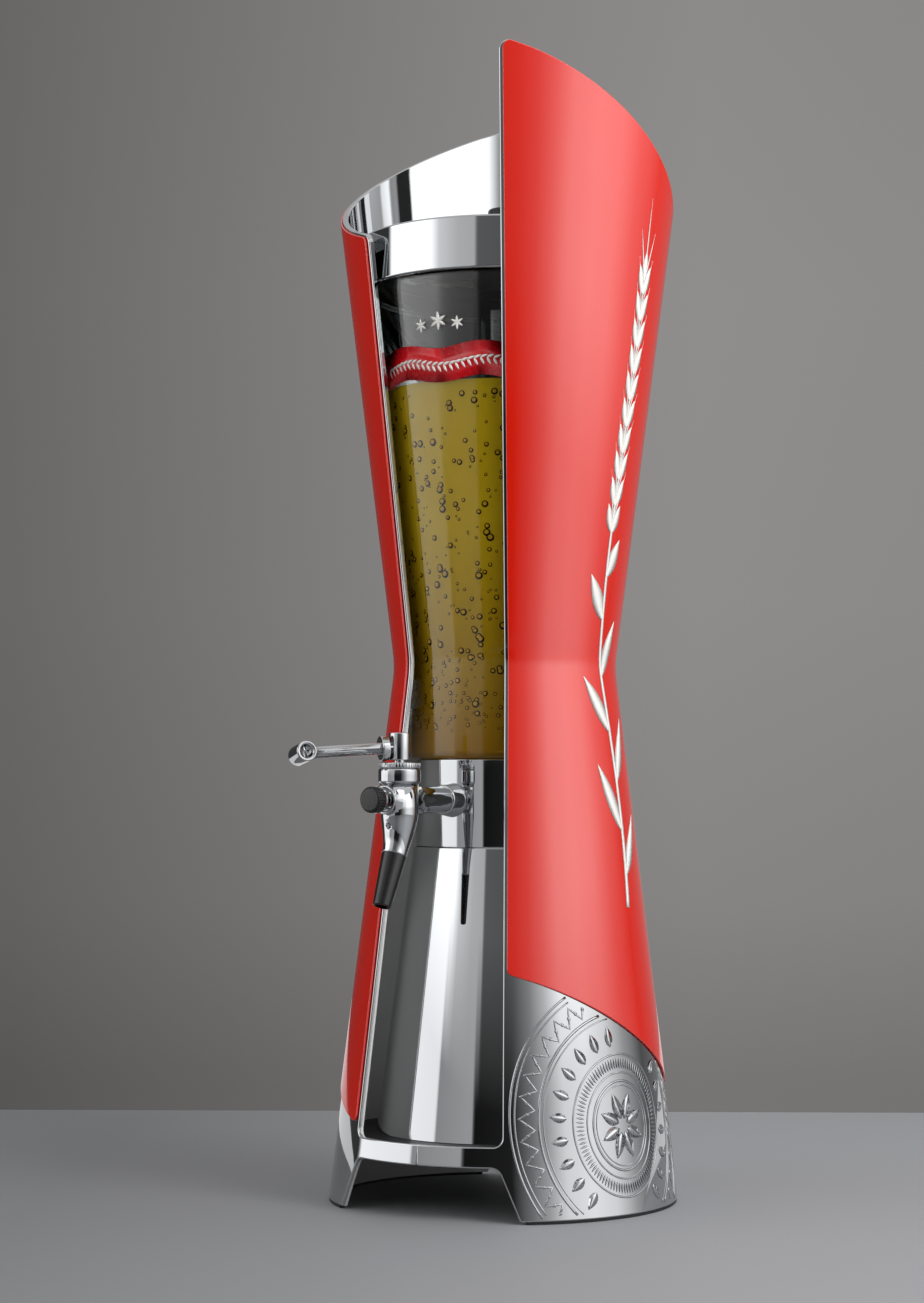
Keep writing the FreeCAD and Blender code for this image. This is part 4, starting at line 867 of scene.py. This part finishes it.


# --- bubbles in the beer
# Gas bubbles cling to the inside of the container's wall, more of them low down. Each is a ball half sunk in
# the beer, its shade painted: a dark edge, where it turns the light away, and the beer's gold in its middle.
BUBBLES = 1700
BUBBLE_R = (0.5, 1.9)
SMALL_POWER = 2           # above 1, small bubbles are more common
LOW_POWER = 1.25          # above 1, there are more bubbles low down
BUBBLE_SUNK = 0.4         # how far a bubble's middle lies inside the beer, as a share of its radius
BUBBLES_FROM_Z = 202.0
BUBBLES_BELOW_TOP = 4.0
BUBBLE_RIM = "301C06"
BUBBLE_MIDDLE = "E8BC2C"
RIM_FACING = 0.8          # how squarely the surface faces outwards where the dark rim ends
MIDDLE_FACING = 0.9       # and where the middle begins

# a gas bubble under a film of lager: a dark ring of painted shade round a golden spot
gas = finish("Gas bubbles in lager", BUBBLE_RIM, (10, 0.1, 0.12, 0), Roughness=0.1, IOR=1.33,
             Specular_IOR_Level=0.1)
tree = gas.node_tree
level = add(tree, "ShaderNodeVectorMath", {"operation": "MULTIPLY", 1: (1, 1, 0)},
            _0=add(tree, "ShaderNodeTexCoord").outputs["Object"])
outwards = add(tree, "ShaderNodeVectorMath", {"operation": "NORMALIZE"}, _0=level.outputs[0])
facing = add(tree, "ShaderNodeVectorMath", {"operation": "DOT_PRODUCT"}, _0=outwards.outputs[0],
             _1=add(tree, "ShaderNodeNewGeometry").outputs["Normal"])
middle = add(tree, "ShaderNodeMapRange", {"From Min": RIM_FACING, "From Max": MIDDLE_FACING},
             Value=facing.outputs["Value"])
tinted(gas, middle.outputs[0], BUBBLE_RIM, BUBBLE_MIDDLE)
random.seed(11)
ball = bmesh.new()
bmesh.ops.create_icosphere(ball, subdivisions=2, radius=1.0)
ball_unit = ([v.co.copy() for v in ball.verts], [tuple(v.index for v in f.verts) for f in ball.faces])
ball.free()
spots = []
for _ in range(BUBBLES):
    radius = BUBBLE_R[0] + (BUBBLE_R[1] - BUBBLE_R[0]) * random.random() ** SMALL_POWER
    z = BUBBLES_FROM_Z + (BEER_TOP_Z - BUBBLES_BELOW_TOP - BUBBLES_FROM_Z) * random.random() ** LOW_POWER
    turn = 2 * math.pi * random.random()
    reach = jar_inside(z) + WETTING - BUBBLE_SUNK * radius
    spots.append(((reach * math.cos(turn), reach * math.sin(turn), z), (0, 0, 0), (radius,) * 3))
seat(wrapped("beer_bubbles", ball_unit, spots, gas, lambda v: v), "tower", "clear_plastic")


# --- printed band and stars on the container
# A red enamel band is screen-printed round the front of the container at the fill line. A white cord pattern
# runs along it, and three small white stars of six petals stand over it.
BAND_RED = "C5101A"
BAND_Z = 356.0
BAND_R = JAR_R + FLARE * (BAND_Z - JAR_CONE_Z)
BAND_HALF_H = 7.0
BAND_HALF_L = BAND_R * math.radians(38)
BAND_WAVE = 1.2
BAND_T = 0.1
BAND_EDGE_T = BAND_T * 0.7
CORD_FROM_T = BAND_T * 0.9                      # the cord starts inside the band's ink
BAND_STEPS = 60
# half width, length and thickness of the band's tongue at each end, of a cord's grain and of a star's petal
BAND_END = (BAND_HALF_H * 0.9, 5.0, BAND_T)
CORD_GRAIN = (0.6, 3.4, 0.12)
STAR_PETAL = (0.75, 3.9, 0.15)
CORD_GRAINS = 24
CORD_REACH = 0.86         # share of the band's half length
CORD_SPREAD = 0.7         # turn of each grain away from the cord, in radians
CORD_LEAN = 0.35
STARS = [(-8.5, 0.75), (0, 1.0), (8.5, 0.75)]   # place across, and size
STAR_Z = 373.0
STAR_DROP = 5.0           # a star stands this much lower for each whole size that it is smaller

# the same print in red: dense, with a soft gloss
band_ink = finish("Red enamel print", BAND_RED, (2.0, 0.2, 0.32, 0.005), Roughness=0.25)


def on_container(point):
    """A flat point laid on the container's outside, round the front."""
    radius = JAR_R + FLARE * (point.y - JAR_CONE_Z) + point.z
    turn = point.x / BAND_R
    return Vector((radius * math.sin(turn), -radius * math.cos(turn), point.y))


def band_middle(share):
    """The band's middle line: it dips in the middle of the front and rises at both ends."""
    return Vector((BAND_HALF_L * share, BAND_Z + BAND_WAVE * math.cos(2 * math.pi * share + math.pi)))


middle_line = [band_middle(2 * i / BAND_STEPS - 1) for i in range(BAND_STEPS + 1)]
band_strip = strip(middle_line, [BAND_HALF_H] * len(middle_line), BAND_EDGE_T, BAND_T)
spots = [((*band_middle(side), 0), (0, 0, -side * math.pi / 2), BAND_END) for side in (-1, 1)]
seat(wrapped("container_band", almond(), spots, band_ink, on_container, [band_strip]),
     "tower", "clear_plastic")
spots = []
for i in range(CORD_GRAINS):
    here = band_middle(CORD_REACH * (2 * i / (CORD_GRAINS - 1) - 1))
    for side in (-1, 1):
        heading = -math.pi / 2 + side * CORD_SPREAD - CORD_LEAN
        spots.append(((here.x, here.y, CORD_FROM_T), (0, 0, heading), CORD_GRAIN))
for x, scale in STARS:
    for i in range(6):
        petal = (STAR_PETAL[0] * scale, STAR_PETAL[1] * scale, STAR_PETAL[2])
        spots.append(((x, STAR_Z - (1 - scale) * STAR_DROP, 0), (0, 0, math.pi / 3 * i), petal))
seat(wrapped("container_cord", almond(6), spots, ink, on_container), "tower", "clear_plastic")


# --- lid, ice tube and cap
# A polished chrome band with a black ABS plate closes the container. A clear tube for ice hangs from it in
# the beer, and a black plug with a silicone seal closes the tube.
LID_IN_R = 61.6
LID_R = 63.6
LID_BOTTOM_Z = 393.0
LID_H = 22.0
LID_EDGE_R = 0.9
TUBE_WALL = 1.6
TUBE_TOP_Z = 405.0
SILICONE = "D9D9D4"

# silicone rubber: milky white, and it lets a little light in
silicone = finish("Translucent silicone", SILICONE, (3.0, 0.4, 0.5, 0.01), Roughness=0.45,
                  Subsurface_Weight=0.2, Subsurface_Scale=0.002)
dress(silicone, "lid_gasket", "ice_cap_seal", "waist_spacers", "shank_washer", "shank_gasket", "stem_seal")
seat(turned("lid_band", [
    (LID_IN_R, LID_BOTTOM_Z, edge / 2),
    (LID_R, LID_BOTTOM_Z, LID_EDGE_R),
    (LID_R, LID_BOTTOM_Z + LID_H, LID_EDGE_R),
    (LID_IN_R, LID_BOTTOM_Z + LID_H, edge / 2),
], chrome), "lid", "chrome", "lid_ring")


def round_end(radius, centre_z, steps=10):
    """The lower quarter circle of a tube's domed end, from the axis outwards."""
    turns = [math.pi / 2 * i / steps for i in range(steps + 1)]
    return [(radius * math.sin(t), centre_z - radius * math.cos(t), 0) for t in turns]


dome_z = TUBE_BOTTOM_Z + TUBE_R
tube_in_r = TUBE_R - TUBE_WALL
seat(turned("ice_tube_clear", round_end(TUBE_R, dome_z) + [
    (TUBE_R, TUBE_TOP_Z, edge),
    (tube_in_r, TUBE_TOP_Z, edge),
] + round_end(tube_in_r, dome_z)[::-1], clear_wall, around=96), "lid", "clear_plastic", "ice_tube")


# --- tap
# The tap is turned and cast brass, polished and chromed. Its lever, knob stem and valve plug turn in it;
# the flow knob is black moulded plastic and the nozzle is a pushed-on sleeve of black rubber.
SMOOTH_UP_TO = math.radians(32)
BRASS = "C9A75B"
KNOB_BLACK = "141415"

# brass off the lathe: a warm, slightly uneven shine
brass = finish("Turned brass", BRASS, (1.2, 0.16, 0.3, 0.004), Metallic=1.0, Roughness=0.22)
# chrome straight on turned brass: a mirror less sharp than the polished one
plated_brass = finish("Chromed turned brass", CHROME, (3.0, 0.04, 0.09, 0), Metallic=1.0, Roughness=0.06)
# plastic from a polished mould: black with soft highlights
knob_black = finish("Glossy moulded black plastic", KNOB_BLACK, (0.9, 0.22, 0.34, 0.01), Roughness=0.25)
# rubber from a polished mould: black with a sheen as if wet
sleeve_black = finish("Smooth black rubber", RUBBER_BLACK, (2.0, 0.17, 0.27, 0.004), Roughness=0.22)
dress(brass, "shank_nut", "flow_needle")
dress(plated_brass, "flow_gland", "valve_plug")


def polished(name, node, material):
    """A smooth-shaded piece from a CAD node's own solid."""
    mesh = nodes[node].data.copy()
    merged = bmesh.new()
    merged.from_mesh(mesh)
    bmesh.ops.remove_doubles(merged, verts=merged.verts, dist=1e-6)
    merged.to_mesh(mesh)
    merged.free()
    mesh.shade_smooth()
    mesh.set_sharp_from_angle(angle=SMOOTH_UP_TO)
    mesh.materials.clear()
    mesh.materials.append(material)
    return placed(name, mesh)


for body, names in (
    ("tower", ("rosette", "shank", "tap_body", "bonnet", "bonnet_ring")),
    ("lever", ("lever_hub", "lever_collar", "lever_rod", "lever_barrel")),
    ("flow_knob_turning", ("flow_stem", "flow_cup")),
):
    for name in names:
        seat(polished(name + "_polished", name, chrome), body, "chrome", name)
seat(polished("flow_knob_moulded", "flow_knob", knob_black), "flow_knob_turning", "black_gloss", "flow_knob")
seat(polished("nozzle_sleeve", "nozzle", sleeve_black), "tower", "black_rubber", "nozzle")


# --- knurling on the bonnet ring and flow knob
# Straight ridges for the fingers are rolled into the rim of the chromed bonnet ring, and moulded round the
# black flow knob. Each ridge is a low roof on the rim, and a plain edge is left at both ends.
TAP_TURN = Matrix.Rotation(math.radians(-6.0), 4, "Z")
TAP_Y = -74.7
RING_R = 8.5
RING_Z = (186.3, 188.7)
RING_RIDGES = 44
RING_PLAIN = 0.2
KNOB_R = 5.2
KNOB_Y = (-94.8, -90.4)
KNOB_Z = 173.3
KNOB_RIDGES = 30
KNOB_PLAIN = 0.5
RIDGE_HALF_W = 0.36
RIDGE_H = 0.22


def knurls(count, radius, length):
    """Spots for ridges that stand on a cylinder along Z, from height 0 up."""
    made = []
    for i in range(count):
        turn = 2 * math.pi * i / count
        made.append(((radius * math.cos(turn), radius * math.sin(turn), 0),
                     (math.pi / 2, 0, turn + math.pi / 2), (RIDGE_HALF_W, length, RIDGE_H)))
    return made


ridge = strip([Vector((0, t)) for t in (0.0, 0.08, 0.92, 1.0)], [0.5, 1, 1, 0.5], -0.2, 1.0)
ring_place = TAP_TURN @ Matrix.Translation((0, TAP_Y, RING_Z[0] + RING_PLAIN))
ring_ridges = knurls(RING_RIDGES, RING_R, RING_Z[1] - RING_Z[0] - 2 * RING_PLAIN)
seat(wrapped("bonnet_ring_knurl", ridge, ring_ridges, chrome, lambda v: ring_place @ v), "tower", "chrome")
lying = Matrix.Rotation(math.pi / 2, 4, "X")
knob_place = TAP_TURN @ Matrix.Translation((0, KNOB_Y[1] - KNOB_PLAIN, KNOB_Z)) @ lying
knob_ridges = knurls(KNOB_RIDGES, KNOB_R, KNOB_Y[1] - KNOB_Y[0] - 2 * KNOB_PLAIN)
seat(wrapped("flow_knob_knurl", ridge, knob_ridges, knob_black, lambda v: knob_place @ v),
     "flow_knob_turning", "black_gloss")


# --- camera
# The camera stands before the tower, to the right of the tap, and looks level at it. Its picture is shifted
# instead of tilted, so that uprights stay upright.
PICTURE_W = 924
PICTURE_H = 1303
FOCAL_PX = 2700
AXIS_X_PX = 504.46        # where the tower's axis stands in the picture
LEVEL_Y_PX = 793.66       # and the camera's own level
SENSOR_H = 36.0
CAMERA_PLACE = (0.5778, -1.0239, 0.176)
CAMERA_ROLL = 0.0034


def looking(spot, at):
    """The matrix of a camera or lamp that stands on a spot and looks at a point."""
    sight = Vector(at) - Vector(spot)
    return Matrix.Translation(spot) @ sight.to_track_quat("-Z", "Y").to_matrix().to_4x4()


camera_data = bpy.data.cameras.new("camera")
camera_data.sensor_fit = "VERTICAL"
camera_data.sensor_height = SENSOR_H
camera_data.lens = SENSOR_H * FOCAL_PX / PICTURE_H
camera_data.shift_x = (PICTURE_W / 2 - AXIS_X_PX) / PICTURE_H
camera_data.shift_y = (LEVEL_Y_PX - PICTURE_H / 2) / PICTURE_H
camera = placed("camera", camera_data)
camera.matrix_world = looking(CAMERA_PLACE, (0, 0, CAMERA_PLACE[2])) @ Matrix.Rotation(CAMERA_ROLL, 4, "Z")
bpy.context.scene.camera = camera
camera_azimuth = math.atan2(CAMERA_PLACE[0], -CAMERA_PLACE[1])


# --- table
# The tower stands on a plain pale grey table with a straight far edge. The table darkens to the left, away
# from the light.
TABLE_FAR = 0.32          # the far edge behind the tower, along the camera's sight
TABLE_SIZE = 6.0
TABLE_GREY = "9A9C9F"
TABLE_SHADED = "7F8183"
SHADED_UP_TO_X = -0.2     # across the camera's sight
LIT_FROM_X = 0.08

half = TABLE_SIZE / 2
to_camera = Matrix.Rotation(camera_azimuth, 4, "Z")
corners = [(-half, -TABLE_SIZE, 0), (half, -TABLE_SIZE, 0), (half, TABLE_FAR, 0), (-half, TABLE_FAR, 0)]
table_mesh = bpy.data.meshes.new("table")
table_mesh.from_pydata([to_camera @ Vector(c) for c in corners], [], [(0, 1, 2, 3)])
table_top = finish("Pale grey table", TABLE_GREY, Roughness=0.6)
tree = table_top.node_tree
across = add(tree, "ShaderNodeMapRange", {"From Min": SHADED_UP_TO_X, "From Max": LIT_FROM_X},
             Value=place_in(tree, turn=camera_azimuth)["X"])
tinted(table_top, across.outputs[0], TABLE_SHADED, TABLE_GREY)
table_mesh.materials.append(table_top)
placed("table", table_mesh)


# --- wall of soft lights
# A round wall stands about the tower. Its bright and dark stretches show in the chrome and light the beer,
# and the camera doesn't see it.
WALL_R = 1.25
WALL_HIGH_Z = 1.5
WALL_STEPS = 180
# strength of the light by degrees left (-) or right (+) of the camera, in three rows, one above another
LIGHT_LOW = [
    (-180, 0.1), (-150, 0.05), (-113, 0.05), (-110, 1.5), (-64, 1.35), (-62, 0.4), (-32, 0.5), (-27.5, 0.5),
    (-26.5, 0.01), (6, 0.02), (19, 0.25), (30, 0.55), (42, 1.1), (60, 1.3), (78, 1.1), (96, 0.5), (118, 0.12),
    (150, 0.25), (180, 0.3),
]
LIGHT_MID = [
    (-180, 0.1), (-150, 0.05), (-102, 0.05), (-98, 2.0), (-60, 2.0), (-52, 1.0), (-36, 0.7), (-24, 0.65),
    (-22, 0.16), (0, 0.14), (8, 0.19), (19, 0.4), (30, 0.9), (42, 1.75), (60, 2.0), (78, 1.7), (96, 0.8),
    (120, 0.2), (150, 0.2), (180, 0.2),
]
LIGHT_HIGH = [
    (-180, 0.5), (6, 0.5), (14, 1.9), (77, 2.1), (78.5, 0.03), (90, 0.03), (92, 0.5), (98, 0.4), (100, 1.7),
    (108, 1.3), (110, 0.5), (125, 0.8), (180, 0.5),
]
LOW_TO_MID = (0.2, 0.35)  # heights between which one row passes into the next, in metres
MID_TO_HIGH = (0.75, 0.95)


def read_off(tree, factor, stops, low, high):
    """The value of a row of stops, straight between them, where factor goes from low at 0 to high at 1."""
    node = add(tree, "ShaderNodeValToRGB", Fac=factor)
    cursor = node.color_ramp
    while len(cursor.elements) < len(stops):
        cursor.elements.new(1.0)
    strongest = max(v for _, v in stops)
    for element, (at, value) in zip(cursor.elements, stops):
        element.position = (at - low) / (high - low)
        element.color = [value / strongest] * 3 + [1]
    return add(tree, "ShaderNodeMath", {"operation": "MULTIPLY", 1: strongest}, _0=node.outputs["Color"])


light_wall = bpy.data.materials.new("Soft light wall")
light_wall.use_nodes = True
tree = light_wall.node_tree
tree.nodes.clear()
place = place_in(tree)
around = add(tree, "ShaderNodeMath", {"operation": "ARCTAN2"}, _0=place["X"], _1=place["Y"])
share = add(tree, "ShaderNodeMapRange", {"From Min": math.pi, "From Max": -math.pi}, Value=around.outputs[0])
strength = read_off(tree, share.outputs[0], LIGHT_LOW, -180, 180)
for row, (start, end) in ((LIGHT_MID, LOW_TO_MID), (LIGHT_HIGH, MID_TO_HIGH)):
    height = add(tree, "ShaderNodeMapRange", {"From Min": start, "From Max": end}, Value=place["Z"])
    above = read_off(tree, share.outputs[0], row, -180, 180)
    strength = add(tree, "ShaderNodeMix", {"data_type": "FLOAT"}, _0=height.outputs[0],
                   _2=strength.outputs[0], _3=above.outputs[0])
glow = add(tree, "ShaderNodeEmission", Strength=strength.outputs[0])
add(tree, "ShaderNodeOutputMaterial", Surface=glow.outputs[0])

# the wall's own Y axis points from the tower to the camera, and its X axis to the camera's left
wall_verts = []
wall_faces = []
for i in range(WALL_STEPS):
    turn = 2 * math.pi * i / WALL_STEPS
    for z in (0.0, WALL_HIGH_Z):
        wall_verts.append((WALL_R * math.cos(turn), WALL_R * math.sin(turn), z))
    j = (i + 1) % WALL_STEPS
    wall_faces.append((2 * i, 2 * i + 1, 2 * j + 1, 2 * j))
wall_mesh = bpy.data.meshes.new("light_wall")
wall_mesh.from_pydata(wall_verts, [], wall_faces)
wall_mesh.materials.append(light_wall)
wall = placed("light_wall", wall_mesh)
wall.matrix_world = Matrix.Rotation(camera_azimuth + math.pi, 4, "Z")
wall.visible_camera = False
wall.visible_shadow = False


# --- lamps
# Two soft round lamps light the colours: a strong one to the right of the camera, and a weak one over it.
# They leave no image of themselves in the chrome.
LAMPS = [                 # degrees right of the camera, metres out, height, width, watts
    (46, 0.85, 0.72, 0.5, 4.2),
    (0, 1.5, 0.9, 0.8, 0.8),
]
LIT_POINT = (0, 0, 0.25)

for turn, reach, z, width, watts in LAMPS:
    lamp_data = bpy.data.lights.new("soft_lamp", "AREA")
    lamp_data.shape = "DISK"
    lamp_data.size = width
    lamp_data.energy = watts
    lamp = placed("soft_lamp", lamp_data)
    turn = camera_azimuth + math.radians(turn)
    lamp.matrix_world = looking((reach * math.sin(turn), -reach * math.cos(turn), z), LIT_POINT)
    lamp.visible_glossy = False
    lamp.visible_transmission = False


# --- backdrop
# The backdrop is plain grey paper, brightest behind the tower. The camera sees it, also through clear pieces,
# and everything else sees an even white room.
BACKDROP_GREY = "92908F"
ROOM_LIGHT = 0.75
# how the backdrop's grey falls away to the left, and towards the table, by the sine of the angle
BACKDROP_ACROSS = [
    (-1.0, 0.5), (-0.18, 0.5), (-0.10, 0.66), (0.0, 0.87), (0.07, 0.97), (0.14, 0.93), (1.0, 0.7),
]
BACKDROP_UP = [
    (-1.0, 0.8), (-0.106, 0.66), (-0.04, 0.86), (0.07, 0.98), (0.18, 1.0), (0.28, 0.95), (1.0, 0.9),
]

world = bpy.data.worlds.new("studio")
bpy.context.scene.world = world
world.use_nodes = True
tree = world.node_tree
tree.nodes.clear()
rays = add(tree, "ShaderNodeLightPath")
seen = add(tree, "ShaderNodeMath", {"operation": "MAXIMUM"}, _0=rays.outputs["Is Camera Ray"],
           _1=rays.outputs["Is Transmission Ray"])
direction = place_in(tree, "Generated", camera_azimuth)
shades = []
for axis, stops in (("X", BACKDROP_ACROSS), ("Z", BACKDROP_UP)):
    share = add(tree, "ShaderNodeMapRange", {"From Min": -1.0}, Value=direction[axis])
    shades.append(read_off(tree, share.outputs[0], stops, -1, 1).outputs[0])
level = add(tree, "ShaderNodeMath", {"operation": "MULTIPLY"}, _0=shades[0], _1=shades[1])
room = add(tree, "ShaderNodeBackground", {"Color": linear("FFFFFF"), "Strength": ROOM_LIGHT})
back = add(tree, "ShaderNodeBackground", {"Color": linear(BACKDROP_GREY)}, Strength=level.outputs[0])
both = add(tree, "ShaderNodeMixShader", _0=seen.outputs[0], _1=room.outputs[0], _2=back.outputs[0])
add(tree, "ShaderNodeOutputWorld", Surface=both.outputs[0])

bpy.context.scene.view_settings.view_transform = "Standard"
